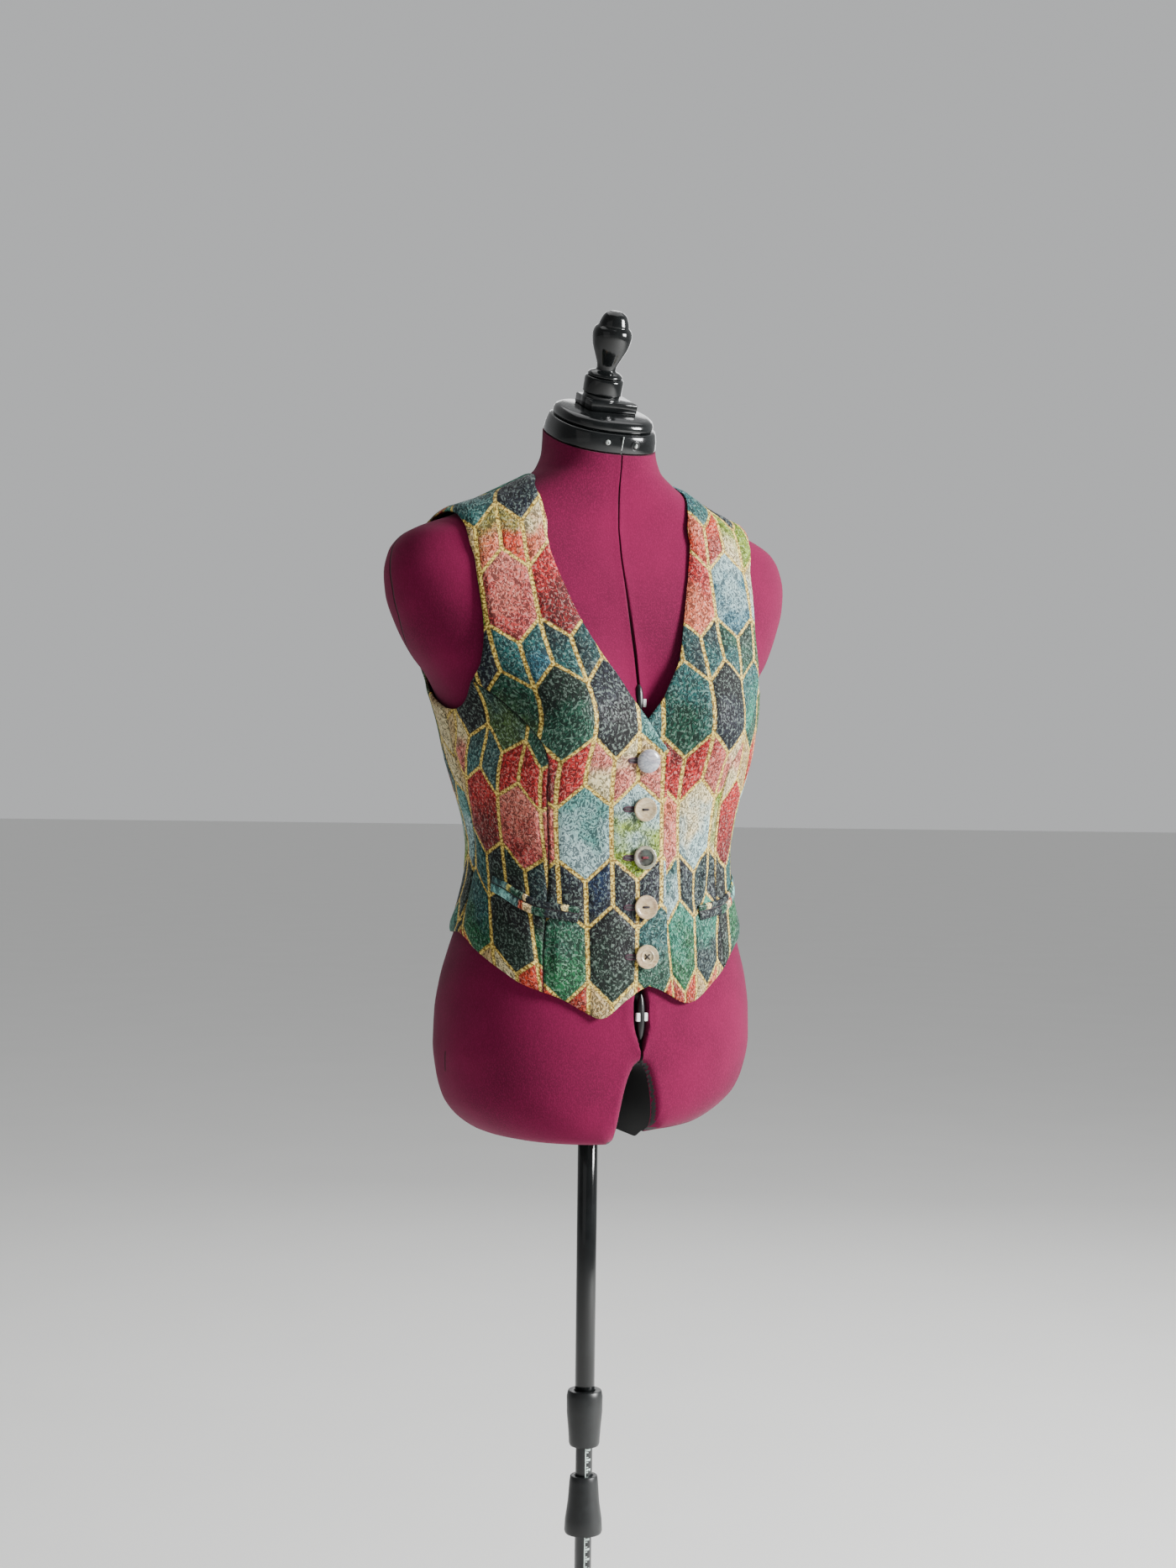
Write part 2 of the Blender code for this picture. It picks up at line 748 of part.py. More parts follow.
def torso(parent):
    turn = np.linspace(-2, 2, FORM_STEPS + 1)[:-1]
    heights = [0.746, 0.749, 0.756, 0.768, 0.784]
    heights += list(np.linspace(0.81, 1.17, 15)[:-1])
    heights += list(np.linspace(1.17, 1.32, 8))
    heights += [1.334, 1.345, 1.354, 1.364, 1.376, 1.389, NECK_BASE_Z]
    rows = [np.full_like(turn, z) for z in heights]
    top = neck_top(turn)
    for k in range(1, NECK_RINGS + 1):
        share = k / NECK_RINGS
        rows.append(NECK_BASE_Z * (1 - share) + top * share)
    bm = bmesh.new()
    rings = []
    for z in rows:
        rings.append([bm.verts.new(p) for p in form_point(turn, z)])
    count = len(turn)
    for a, b in zip(rings[:-1], rings[1:]):
        for k in range(count):
            n = (k + 1) % count
            bm.faces.new((a[k], a[n], b[n], b[k]))
    bm.faces.new(rings[0][::-1])
    bm.faces.new(rings[-1])
    bmesh.ops.triangulate(bm, faces=[f for f in bm.faces if len(f.verts) == 4])
    obj = add("torso", bm, "jersey", parent=parent)
    cut(obj, arch_cutter())
    cut(obj, lathe(((SOCKET_RADIUS, 0.60), (SOCKET_RADIUS, SOCKET_TOP_Z)), TUBE_STEPS))
    return obj


def arch_cutter():
    """The gap between the legs, wider toward the front and the back."""
    bm = bmesh.new()
    sections = []
    for y in np.linspace(-ARCH_REACH, ARCH_REACH, 9):
        wide = ARCH_HALF + ARCH_FLARE * (y / ARCH_REACH) ** 2
        top = ARCH_TOP_Z + 0.010 * (y / ARCH_REACH) ** 2
        section = [bm.verts.new((wide, y, ARCH_LOW_Z))]
        for k in range(ARCH_STEPS + 1):
            angle = math.pi * k / ARCH_STEPS
            x = wide * math.cos(angle)
            z = top - ARCH_ROUND * (1 - math.sin(angle))
            section.append(bm.verts.new((x, y, z)))
        section.append(bm.verts.new((-wide, y, ARCH_LOW_Z)))
        sections.append(section)
    for a, b in zip(sections[:-1], sections[1:]):
        for k in range(len(a)):
            n = (k + 1) % len(a)
            bm.faces.new((a[k], a[n], b[n], b[k]))
    bm.faces.new(sections[0][::-1])
    bm.faces.new(sections[-1])
    bmesh.ops.triangulate(bm, faces=bm.faces)
    return bm


def cap_ring(share, height, scale):
    """A ring of the neck cap: the neck's own outline, on the leaning cut."""
    turn = np.linspace(-2, 2, CAP_STEPS + 1)[:-1]
    base = form_point(turn, neck_top(turn))
    middle = base.mean(axis=0)
    lean = math.radians(NECK_TILT_DEG)
    up = np.array([0.0, -math.sin(lean), math.cos(lean)])
    return middle + (base - middle) * scale + up * height


def cap_solid(rows):
    """A solid through rings of the neck's outline, rows of height and scale."""
    bm = bmesh.new()
    rings = [[bm.verts.new(p) for p in cap_ring(0, h, s)] for h, s in rows]
    count = len(rings[0])
    for a, b in zip(rings[:-1], rings[1:]):
        for k in range(count):
            n = (k + 1) % count
            bm.faces.new((a[k], a[n], b[n], b[k]))
    bm.faces.new(rings[0][::-1])
    bm.faces.new(rings[-1])
    return bm


def neck_caps(parent):
    low = CAP_CLEAR
    high = low + BAND_TALL
    rows = ((low, 0.97), (low + 0.001, 0.99), (high - 0.003, 0.95), (high, 0.91))
    add("neck_band", cap_solid(rows), "black_gloss", parent=parent)
    low = high + CAP_CLEAR
    high = low + LID_TALL
    rows = ((low, 0.86), (low + 0.003, 0.89), (high - 0.004, 0.86), (high, 0.78))
    add("neck_lid", cap_solid(rows), "black_gloss", parent=parent)
    lean = math.radians(NECK_TILT_DEG)
    up = Vector((0.0, -math.sin(lean), math.cos(lean)))
    back = Vector((0.0, math.cos(lean), math.sin(lean)))
    turn = np.linspace(-2, 2, CAP_STEPS + 1)[:-1]
    middle = Vector(form_point(turn, neck_top(turn)).mean(axis=0))
    base = middle + up * (high + CAP_CLEAR) + back * FINIAL_BACK
    frame = leaning(base, NECK_TILT_DEG)
    radius = PEDESTAL_RADIUS
    tall = PEDESTAL_TALL
    profile = (
        (radius * 0.97, 0.0),
        (radius, 0.001),
        (radius, tall - 0.002),
        (radius * 0.92, tall),
    )
    add("cap_pedestal", lathe(profile, FINIAL_STEPS, frame), "black_gloss", parent=parent)
    frame = leaning(base + up * (tall + CAP_CLEAR), NECK_TILT_DEG)
    add("finial", lathe(FINIAL_PROFILE, FINIAL_STEPS, frame), "black_gloss", parent=parent)


def button(name, z, domed, key, parent):
    """A sewn button on its stem, standing off the right front."""
    turn = turn_of(BUTTON_X, z)
    lift = LAP_LIFT + CLOTH_THICK
    place = cloth_point(turn, z, np.array(lift + CAP_CLEAR))
    out = Vector(cloth_out(np.asarray(turn), np.asarray(z)))
    out.rotate(Matrix.Rotation(math.radians(BUTTON_TURN_DEG), 3, "Z"))
    frame = Matrix.Translation(Vector(place)) @ out.to_track_quat("Z", "Y").to_matrix().to_4x4()
    r = BUTTON_RADIUS
    low = BUTTON_STAND_OFF - 0.0012
    stem = STEM_RADIUS
    back = ((stem, 0.0004), (stem, low), (r * 0.80, low), (r * 0.97, low + 0.0008))
    if domed:
        face = ((r, low + 0.0014), (r * 0.9, low + 0.0027), (r * 0.6, low + 0.0040))
        face += ((r * 0.25, low + 0.0046),)
    else:
        face = ((r, low + 0.0016), (r * 0.95, low + 0.0024), (r * 0.76, low + 0.0024))
        face += ((r * 0.66, low + 0.0017), (r * 0.30, low + 0.0015))
    bm = lathe(back + face, BUTTON_STEPS, frame)
    add(name, bm, key, parent=parent)


def leg(name, angle, parent):
    """A bent flat bar from the hub out to its foot."""
    line = smooth(LEG_LINE, 3)
    way = np.gradient(line, axis=0)
    way /= np.linalg.norm(way, axis=1, keepdims=True)
    bm = bmesh.new()
    rings = []
    c = math.cos(angle)
    s = math.sin(angle)
    for (radius, z), (along, rise) in zip(line, way):
        ring = []
        for side, up in ((-1, -1), (1, -1), (1, 1), (-1, 1)):
            r = radius - rise * up * LEG_THICK / 2
            height = z + along * up * LEG_THICK / 2
            off = side * LEG_WIDE / 2
            ring.append(bm.verts.new((r * c - off * s, r * s + off * c, height)))
        rings.append(ring)
    for a, b in zip(rings[:-1], rings[1:]):
        for k in range(4):
            n = (k + 1) % 4
            bm.faces.new((a[k], a[n], b[n], b[k]))
    bm.faces.new(rings[0][::-1])
    bm.faces.new(rings[-1])
    add(name, bm, "black_satin", parent=parent)


def stand():
    """The hub, legs, feet, rod and clamps, and the pole that carries the form."""
    hub = add("hub", lathe(HUB_PROFILE, TUBE_STEPS, bore=ROD_RADIUS + 0.0003), "black_satin")
    for k in range(LEG_SIDES):
        angle = math.pi / 4 + k * math.pi / 2
        leg(f"leg_{k + 1}", angle, hub)
        place = Vector((FOOT_AT * math.cos(angle), FOOT_AT * math.sin(angle), 0.0))
        r = FOOT_RADIUS
        top = FOOT_TALL
        profile = ((r, 0.0), (r, top - 0.002), (r * 0.85, top))
        foot = lathe(profile, FOOT_STEPS, Matrix.Translation(place))
        add(f"foot_{k + 1}", foot, "rubber", place, hub)
    rod = ((ROD_RADIUS, ROD_LOW_Z), (ROD_RADIUS, ROD_HIGH_Z))
    add("lower_tube", lathe(rod, TUBE_STEPS), "steel_black", parent=hub)
    clamp = lathe(CLAMP_PROFILE, TUBE_STEPS, bore=ROD_RADIUS + SLIDE_CLEAR)
    add("marker_clamp", clamp, "black_satin", (0.0, 0.0, 0.369), hub)
    tube = ((POLE_RADIUS, POLE_LOW_Z), (POLE_RADIUS, POLE_HIGH_Z))
    pole = lathe(tube, TUBE_STEPS, bore=POLE_BORE)
    pole = add("upper_pole", pole, "steel_black", (0.0, 0.0, POLE_LOW_Z), hub)
    collar = lathe(COLLAR_PROFILE, TUBE_STEPS, bore=POLE_RADIUS + SLIDE_CLEAR)
    add("twist_collar", collar, "black_satin", (0.0, 0.0, 0.456), pole)
    return pole


def waistcoat(parent):
    FORM_PARENT[0] = parent
    panel("centre_front_right", centre_front_grid(True), lapped=True, right=True)
    panel("side_front_right", side_front_grid(True), right=True)
    panel("centre_front_left", centre_front_grid(False))
    panel("side_front_left", side_front_grid(False))
    panel("back", back_grid())
    for side, right in (("right", True), ("left", False)):
        pocket_lip(f"pocket_upper_lip_{side}", True, right)
        pocket_lip(f"pocket_lower_lip_{side}", False, right)
    for k, z in enumerate(BUTTON_Z):
        key = "smoke_pearl" if k == 2 else "pearl"
        button(f"button_{k + 1}", z, k == 0, key, parent)


def main():
    for obj in list(bpy.data.objects):
        bpy.data.objects.remove(obj, do_unlink=True)
    pole = stand()
    form = torso(pole)
    neck_caps(form)
    waistcoat(form)


main()
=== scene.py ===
"""Jacquard waistcoat on its dress form: the dressed scene, laid out as an add-on."""

import math

import bmesh
import bpy
import numpy as np
from bpy.props import FloatProperty, FloatVectorProperty, IntProperty, PointerProperty
from mathutils import Matrix, Vector


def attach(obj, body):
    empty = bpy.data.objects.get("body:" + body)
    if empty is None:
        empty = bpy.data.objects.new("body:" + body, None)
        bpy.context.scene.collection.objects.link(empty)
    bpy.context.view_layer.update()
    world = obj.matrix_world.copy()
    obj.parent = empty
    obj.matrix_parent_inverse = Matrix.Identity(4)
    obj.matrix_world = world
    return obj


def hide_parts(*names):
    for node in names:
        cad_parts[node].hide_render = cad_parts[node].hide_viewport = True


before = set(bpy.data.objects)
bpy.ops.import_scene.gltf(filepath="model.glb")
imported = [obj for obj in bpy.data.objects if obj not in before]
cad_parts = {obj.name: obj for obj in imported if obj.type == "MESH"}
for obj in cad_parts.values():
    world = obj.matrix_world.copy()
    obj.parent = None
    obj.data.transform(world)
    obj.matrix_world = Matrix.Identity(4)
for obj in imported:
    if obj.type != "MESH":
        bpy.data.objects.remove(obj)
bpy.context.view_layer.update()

bl_info = {
    "name": "Jacquard waistcoat",
    "version": (1, 0, 0),
    "blender": (4, 5, 0),
    "location": "View3D > Sidebar > Waistcoat",
    "description": "Builds a jacquard waistcoat worn on a limbless dress form",
    "category": "Object",
}

# sizes of the form, from its lower cut to the neck
FORM_LEVELS = (
    # z, half_width, front, back, middle
    (0.746, 0.095, 0.094, 0.090, -0.010),
    (0.749, 0.108, 0.101, 0.096, -0.010),
    (0.756, 0.122, 0.1065, 0.101, -0.008),
    (0.768, 0.1375, 0.1105, 0.105, -0.004),
    (0.784, 0.150, 0.113, 0.106, 0.001),
    (0.810, 0.159, 0.115, 0.106, 0.005),
    (0.840, 0.1635, 0.117, 0.105, 0.008),
    (0.870, 0.163, 0.1155, 0.102, 0.009),
    (0.900, 0.159, 0.1125, 0.098, 0.011),
    (0.930, 0.151, 0.1095, 0.092, 0.012),
    (0.960, 0.1415, 0.106, 0.085, 0.014),
    (0.990, 0.133, 0.102, 0.0785, 0.016),
    (1.020, 0.1295, 0.0995, 0.075, 0.018),
    (1.050, 0.132, 0.101, 0.076, 0.018),
    (1.090, 0.1425, 0.1045, 0.084, 0.017),
    (1.120, 0.151, 0.104, 0.091, 0.016),
    (1.150, 0.158, 0.1025, 0.097, 0.015),
    (1.180, 0.166, 0.0985, 0.101, 0.010),
    (1.200, 0.175, 0.095, 0.102, 0.004),
    (1.220, 0.190, 0.0915, 0.102, -0.002),
    (1.250, 0.206, 0.083, 0.102, -0.008),
    (1.280, 0.2165, 0.0735, 0.100, -0.010),
    (1.300, 0.2185, 0.0665, 0.097, -0.010),
    (1.320, 0.2145, 0.0595, 0.092, -0.010),
    (1.335, 0.204, 0.056, 0.087, -0.008),
    (1.346, 0.185, 0.0535, 0.0825, -0.006),
    (1.356, 0.158, 0.0525, 0.078, -0.004),
    (1.370, 0.129, 0.0525, 0.072, -0.002),
    (1.385, 0.101, 0.0535, 0.067, 0.000),
    (1.398, 0.0785, 0.0555, 0.0625, 0.002),
    (1.410, 0.063, 0.0575, 0.0555, 0.004),
    (1.430, 0.056, 0.059, 0.049, 0.005),
    (1.480, 0.0545, 0.0585, 0.0465, 0.006),
)
# sizes of the cloth's inner face, a few millimetres clear of the form
CLOTH_LEVELS = (
    # z, half_width, front, back, middle
    (0.855, 0.168, 0.120, 0.107, 0.010),
    (0.900, 0.163, 0.1175, 0.102, 0.011),
    (0.930, 0.155, 0.1155, 0.096, 0.012),
    (0.950, 0.149, 0.114, 0.091, 0.013),
    (0.980, 0.140, 0.112, 0.085, 0.016),
    (1.010, 0.135, 0.110, 0.080, 0.018),
    (1.030, 0.1345, 0.1085, 0.079, 0.020),
    (1.060, 0.139, 0.108, 0.082, 0.021),
    (1.090, 0.148, 0.109, 0.0885, 0.021),
    (1.120, 0.157, 0.110, 0.096, 0.020),
    (1.150, 0.163, 0.1105, 0.102, 0.018),
    (1.170, 0.168, 0.1085, 0.105, 0.015),
    (1.190, 0.1745, 0.104, 0.106, 0.009),
    (1.220, 0.195, 0.0975, 0.106, 0.000),
    (1.250, 0.2105, 0.088, 0.106, -0.007),
    (1.280, 0.2205, 0.0775, 0.104, -0.010),
    (1.300, 0.2225, 0.070, 0.101, -0.010),
    (1.320, 0.220, 0.063, 0.0975, -0.010),
    (1.335, 0.210, 0.060, 0.093, -0.008),
    (1.346, 0.194, 0.058, 0.0885, -0.006),
    (1.360, 0.167, 0.056, 0.083, -0.004),
    (1.374, 0.129, 0.0555, 0.0745, -0.002),
    (1.389, 0.0982, 0.0565, 0.0685, 0.000),
    (1.402, 0.0740, 0.0585, 0.0617, 0.002),
    (1.414, 0.0610, 0.0605, 0.0555, 0.004),
)
ROUNDNESS = 2.3  # power of the body's cross sections
BUST_X = 0.078
BUST_Z = 1.158
BUST_ABOVE = 0.060
BUST_BELOW = 0.048
FORM_BUST_OUT = 0.033
FORM_BUST_SPREAD = 0.048
CLOTH_BUST_OUT = 0.032
CLOTH_BUST_SPREAD = 0.054

# cloth
CLOTH_THICK = 0.002
SEAM_INSET = 0.00017  # each side of a seam
RIGHT_SIDE = np.array([-1.0, 1.0, 1.0])  # mirrors the points of a right piece
FRONT_LAP = 0.0256  # front edges beyond the centre line
LAP_LIFT = 0.0028
LAP_LIFT_FROM = 0.056
LAP_LIFT_TO = 0.028

# turn is 0 at the centre front, 1 at the side and 2 at the centre back
NECKLINE = (
    # turn, z, from the side of the V to the shoulder
    (0.089, 1.202),
    (0.112, 1.220),
    (0.136, 1.250),
    (0.153, 1.275),
    (0.170, 1.297),
    (0.205, 1.332),
    (0.262, 1.357),
    (0.400, 1.374),
    (0.600, 1.388),
    (0.810, 1.3985),
    (1.000, 1.4035),
)
V_SIDE = (
    # x, z, of the neckline near the centre front, past the centre line at first
    (-0.0256, 1.127),
    (-0.012, 1.142),
    (0.000, 1.157),
    (0.019, 1.179),
)
ARMHOLE_FRONT = (
    # turn, z, from the princess seam to the shoulder
    (0.690, 1.193),
    (0.575, 1.211),
    (0.500, 1.235),
    (0.462, 1.260),
    (0.448, 1.290),
    (0.460, 1.318),
    (0.540, 1.341),
    (0.700, 1.355),
    (0.850, 1.360),
    (1.000, 1.3615),
)
ARMHOLE_UNDER = (
    # turn, z, from the princess seam to the side seam
    (0.690, 1.193),
    (0.800, 1.173),
    (0.900, 1.166),
    (1.000, 1.168),
)
SHOULDER_BLEND = 4  # how late the back's rows take up the slope of the shoulder
ARMHOLE_BACK = (
    # turn, z, from the side seam to the shoulder
    (1.000, 1.168),
    (1.080, 1.1745),
    (1.190, 1.185),
    (1.330, 1.203),
    (1.420, 1.232),
    (1.465, 1.268),
    (1.470, 1.302),
    (1.420, 1.332),
    (1.300, 1.352),
    (1.150, 1.360),
    (1.000, 1.3615),
)
PRINCESS = (
    # turn, z, from the hem up to the armhole; the hem's own height ends it
    (0.380, 0.905),
    (0.405, 0.940),
    (0.420, 0.975),
    (0.432, 1.010),
    (0.430, 1.045),
    (0.412, 1.085),
    (0.400, 1.112),
    (0.425, 1.130),
    (0.475, 1.146),
    (0.530, 1.161),
    (0.600, 1.178),
    (0.690, 1.193),
)
HEM = (
    # turn, right_z, left_z
    (-0.100, 0.911, 0.911),
    (-0.070, 0.909, 0.909),
    (-0.020, 0.903, 0.904),
    (0.055, 0.888, 0.896),
    (0.135, 0.871, 0.884),
    (0.200, 0.877, 0.885),
    (0.290, 0.889, 0.899),
    (0.380, 0.8965, 0.914),
    (0.480, 0.904, 0.928),
    (0.615, 0.918, 0.940),
    (0.795, 0.934, 0.947),
    (1.000, 0.949, 0.949),
    (1.250, 0.947, 0.947),
    (1.600, 0.940, 0.940),
    (2.000, 0.937, 0.937),
)
BACK_NECK = (
    # turn, z, from the shoulder to the centre back
    (1.000, 1.4035),
    (1.250, 1.4010),
    (1.600, 1.3970),
    (2.000, 1.3955),
)
FRONT_COLUMNS = 9
FRONT_LOW_ROWS = 14
FRONT_EDGE_ROWS = 11
FRONT_HIGH_ROWS = 12
SIDE_COLUMNS = 8
BACK_SHOULDER_COLUMNS = 5
BACK_NECK_COLUMNS = 14
BACK_HIGH_ROWS = 10
FINER = 8  # rows and columns of the fronts for each one counted above
BACK_FINER = 7

# lower pockets, a pair of lips each
POCKET_LINE = (
    # turn, z, from the side end to the front end
    (0.785, 0.999),
    (0.685, 0.993),
    (0.590, 0.985),
    (0.470, 0.977),
    (0.355, 0.9735),
    (0.265, 0.9705),
)
LIP_TALL = 0.0072
LIP_GAP = 0.0009  # from the slit to each lip

# buttons
BUTTON_Z = (1.119, 1.0715, 1.024, 0.9765, 0.929)
BUTTON_X = 0.001
BUTTON_RADIUS = 0.0116
BUTTON_TURN_DEG = -8.0
HOLE_OUT = 0.0029
HOLE_SIDE = 0.0020
PAIR_OF_HOLES = ((-HOLE_OUT, 0.0), (HOLE_OUT, 0.0))
FOUR_HOLES = tuple((x * HOLE_SIDE, y * HOLE_SIDE) for x, y in ((-1, -1), (1, -1), (1, 1), (-1, 1)))
BUTTONS = (
    # shape, holes, finish, slot and thread, from the top button down
    ("domed", (), "pearl_blue", "pearl", "thread_dark"),
    ("dished", PAIR_OF_HOLES, "pearl_cream", "pearl", "thread_dark"),
    ("broad", PAIR_OF_HOLES, "pearl_smoke", "smoke_pearl", "thread_red"),
    ("dished", PAIR_OF_HOLES, "pearl_cream", "pearl", "thread_dark"),
    ("ringed", FOUR_HOLES, "pearl_cream", "pearl", "thread_dark"),
)

# form
NECK_TILT_DEG = 22.5
NECK_LEAN = math.radians(NECK_TILT_DEG)
NECK_UP = Vector((0.0, -math.sin(NECK_LEAN), math.cos(NECK_LEAN)))
NECK_BACK = Vector((0.0, math.cos(NECK_LEAN), math.sin(NECK_LEAN)))
NECK_TOP_Z = 1.4435
NECK_BASE_Z = 1.402
ARCH_TOP_Z = 0.821
ARCH_HALF = 0.0200
ARCH_FLARE = 0.008
ARCH_ROUND = 0.150
ARCH_REACH = 0.15
ARCH_LOW_Z = 0.660
SOCKET_RADIUS = 0.0104

# neck cap and finial, along the cap's leaning line
CAP_CLEAR = 0.0003
BAND_TALL = 0.019
LID_TALL = 0.011
FINIAL_BACK = 0.0125  # how far the finial stands behind the neck's middle
PEDESTAL_RADIUS = 0.0198
PEDESTAL_TALL = 0.031
PEDESTAL_PROFILE = (
    # share of the radius, share of the height, and height more
    (0.98, 0.0, 0.0),
    (1.0, 0.0, 0.001),
    (1.0, 0.30, 0.0),
    (0.93, 0.33, 0.0),
    (0.93, 0.45, 0.0),
    (1.0, 0.48, 0.0),
    (1.0, 1.0, -0.002),
    (0.92, 1.0, 0.0),
)
CAP_PROFILES = (
    # name, CAD piece, height, then height and scale: below 0 it is counted from the top
    (
        "cap_band",
        "neck_band",
        BAND_TALL,
        (
            (0.0, 0.965),
            (0.0006, 0.985),
            (0.0025, 0.992),
            (0.010, 0.978),
            (-0.003, 0.952),
            (-0.0008, 0.935),
            (BAND_TALL, 0.91),
        ),
    ),
    (
        "cap_lid",
        "neck_lid",
        LID_TALL,
        (
            (0.0, 0.855),
            (0.0008, 0.875),
            (0.003, 0.885),
            (-0.0055, 0.88),
            (-0.0025, 0.855),
            (-0.0007, 0.81),
            (LID_TALL, 0.76),
        ),
    ),
)
SCREW = ((0.0026, -0.002), (0.0026, 0.0002), (0.0020, 0.0010), (0.0012, 0.0012), (0.0010, 0.0004))
DIAL_SEAT = ((0.0052, -0.002), (0.0052, 0.0001), (0.0044, 0.0006), (0.0036, 0.0002))
DIAL = ((0.0016, -0.002), (0.0018, 0.0012), (0.0012, 0.0020))
CAP_FITTINGS = (
    # name, turn, height on the band, stretch upward, finish, radius and height
    ("cap_screw", -0.153, 0.0110, 1.0, "screw_steel", SCREW),
    ("cap_dial_seat", 0.129, 0.0095, 1.0, "satin_black", DIAL_SEAT),
    ("cap_dial", 0.129, 0.0098, 1.35, "screw_steel", DIAL),
)
FINIAL_PROFILE = (
    # radius, height
    (0.0170, 0.0000),
    (0.0176, 0.0020),
    (0.0150, 0.0045),
    (0.0104, 0.0065),
    (0.0098, 0.0090),
    (0.0106, 0.0130),
    (0.0140, 0.0210),
    (0.0178, 0.0300),
    (0.0196, 0.0380),
    (0.0198, 0.0430),
    (0.0186, 0.0475),
    (0.0164, 0.0500),
    (0.0153, 0.0513),
    (0.0151, 0.0530),
    (0.0136, 0.0575),
    (0.0108, 0.0625),
    (0.0060, 0.0655),
)

# stand
POLE_RADIUS = 0.0100
POLE_BORE = 0.0090
POLE_LOW_Z = 0.446
POLE_HIGH_Z = 0.9695
ROD_RADIUS = 0.0085
ROD_LOW_Z = 0.120
ROD_HIGH_Z = 0.720
COLLAR_PROFILE = (
    # radius, z
    (0.0145, 0.428),
    (0.0155, 0.431),
    (0.0165, 0.446),
    (0.0180, 0.462),
    (0.0182, 0.478),
    (0.0168, 0.484),
)
CLAMP_PROFILE = (
    # radius, z
    (0.0184, 0.340),
    (0.0192, 0.343),
    (0.0186, 0.354),
    (0.0160, 0.372),
    (0.0145, 0.392),
    (0.0136, 0.398),
)
HUB_PROFILE = (
    # radius, z
    (0.0240, 0.092),
    (0.0260, 0.095),
    (0.0260, 0.148),
    (0.0215, 0.160),
    (0.0150, 0.166),
)
LEG_WIDE = 0.020
LEG_THICK = 0.009
LEG_LINE = (
    # radius, z, of the leg's middle line
    (0.0264, 0.122),
    (0.060, 0.119),
    (0.110, 0.098),
    (0.165, 0.058),
    (0.205, 0.0285),
    (0.232, 0.0170),
    (0.268, 0.0150),
)
FOOT_RADIUS = 0.0135
FOOT_TALL = 0.0100
FOOT_AT = 0.2520

# the finishes other than cloth
BLACKS = (
    # name, share of the black, roughness and its spread, scale of the unevenness, grain
    ("gloss_black", 1.0, 0.13),
    ("satin_black", 1.3, 0.38, 0.16, 90, 0.00004),
    ("rubber_black", 1.2, 0.82, 0.1, 120, 0.00010),
)
PLASTICS = (
    # arch_black: painted shade on the arch's walls, and the plain black of the form's lower end and socket
    ("arch_black", (12, 12, 13), 0.55, 0.1, 80, 0.00005),
    ("adjuster_black", (16, 16, 17), 0.35, 0.1, 80, 0.00003),
    ("screw_steel", (150, 156, 152), 0.28, 0.1, 300, 0.00004),
    ("adjuster_mark", (214, 218, 214), 0.45, 0.1, 200, 0.00003),
)
PEARLS = (
    # name, pale and deep colour of the shell
    ("pearl_cream", (204, 184, 148), (168, 142, 106)),
    ("pearl_blue", (180, 180, 184), (126, 128, 140)),
    ("pearl_smoke", (62, 56, 50), (26, 24, 22)),
    ("pearl_smoke_rim", (164, 160, 138), (104, 102, 86)),
)
THREADS = (
    ("thread_plum", (72, 14, 48)),
    ("thread_dark", (36, 20, 30)),
    ("thread_red", (132, 30, 50)),
)

# light and camera
LIGHTS = (
    # name, place, size and power
    ("key", (2.5, -2.1, 2.1), 1.1, 360.0),
    ("fill", (-2.8, -1.8, 1.7), 2.4, 5.0),
    ("top", (0.2, 0.2, 3.6), 2.4, 26.0),
    ("rim", (1.6, 2.6, 2.2), 1.6, 22.0),
)
LIT_POINT = (0.0, 0.0, 1.05)
PALER_WAY = (0.50, 0.866, 0.0)  # the side the studio is brighter on
PALER_RANGE = (-0.2, 0.75, 0.22, 0.66)  # from and to along that way, and the light there
CAMERA_ROLL = 0.01204
FOCAL_PIXELS = 2714.0
PHOTO_TALL = 1867.0


def levels(rows):
    """A smooth function of height through a table's rows, without overshoot."""
    table = np.array(rows, float)
    z = table[:, 0]
    v = table[:, 1:]
    step = np.diff(z)
    rise = np.diff(v, axis=0) / step[:, None]
    slope = np.zeros_like(v)
    slope[0] = rise[0]
    slope[-1] = rise[-1]
    for i in range(1, len(z) - 1):
        w1 = 2 * step[i] + step[i - 1]
        w2 = step[i] + 2 * step[i - 1]
        same = rise[i - 1] * rise[i] > 0
        low = np.where(same, rise[i - 1], 1.0)
        high = np.where(same, rise[i], 1.0)
        slope[i] = np.where(same, (w1 + w2) / (w1 / low + w2 / high), 0.0)

    def at(height):
        q = np.clip(np.asarray(height, float), z[0], z[-1])
        i = np.clip(np.searchsorted(z, q, side="right") - 1, 0, len(z) - 2)
        t = ((q - z[i]) / step[i])[..., None]
        width = step[i][..., None]
        return (
            v[i] * (1 + 2 * t) * (1 - t) ** 2
            + width * slope[i] * t * (1 - t) ** 2
            + v[i + 1] * t * t * (3 - 2 * t)
            + width * slope[i + 1] * t * t * (t - 1)
        )

    return at


FORM_AT = levels(FORM_LEVELS)
CLOTH_AT = levels(CLOTH_LEVELS)


def bust(x, z, out, spread):
    """How far the bust pushes the front out."""
    tall = np.where(z > BUST_Z, BUST_ABOVE, BUST_BELOW)
    across = np.exp(-(((x - BUST_X) / spread) ** 2))
    across = across + np.exp(-(((x + BUST_X) / spread) ** 2))
    return out * across * np.exp(-(((z - BUST_Z) / tall) ** 2))


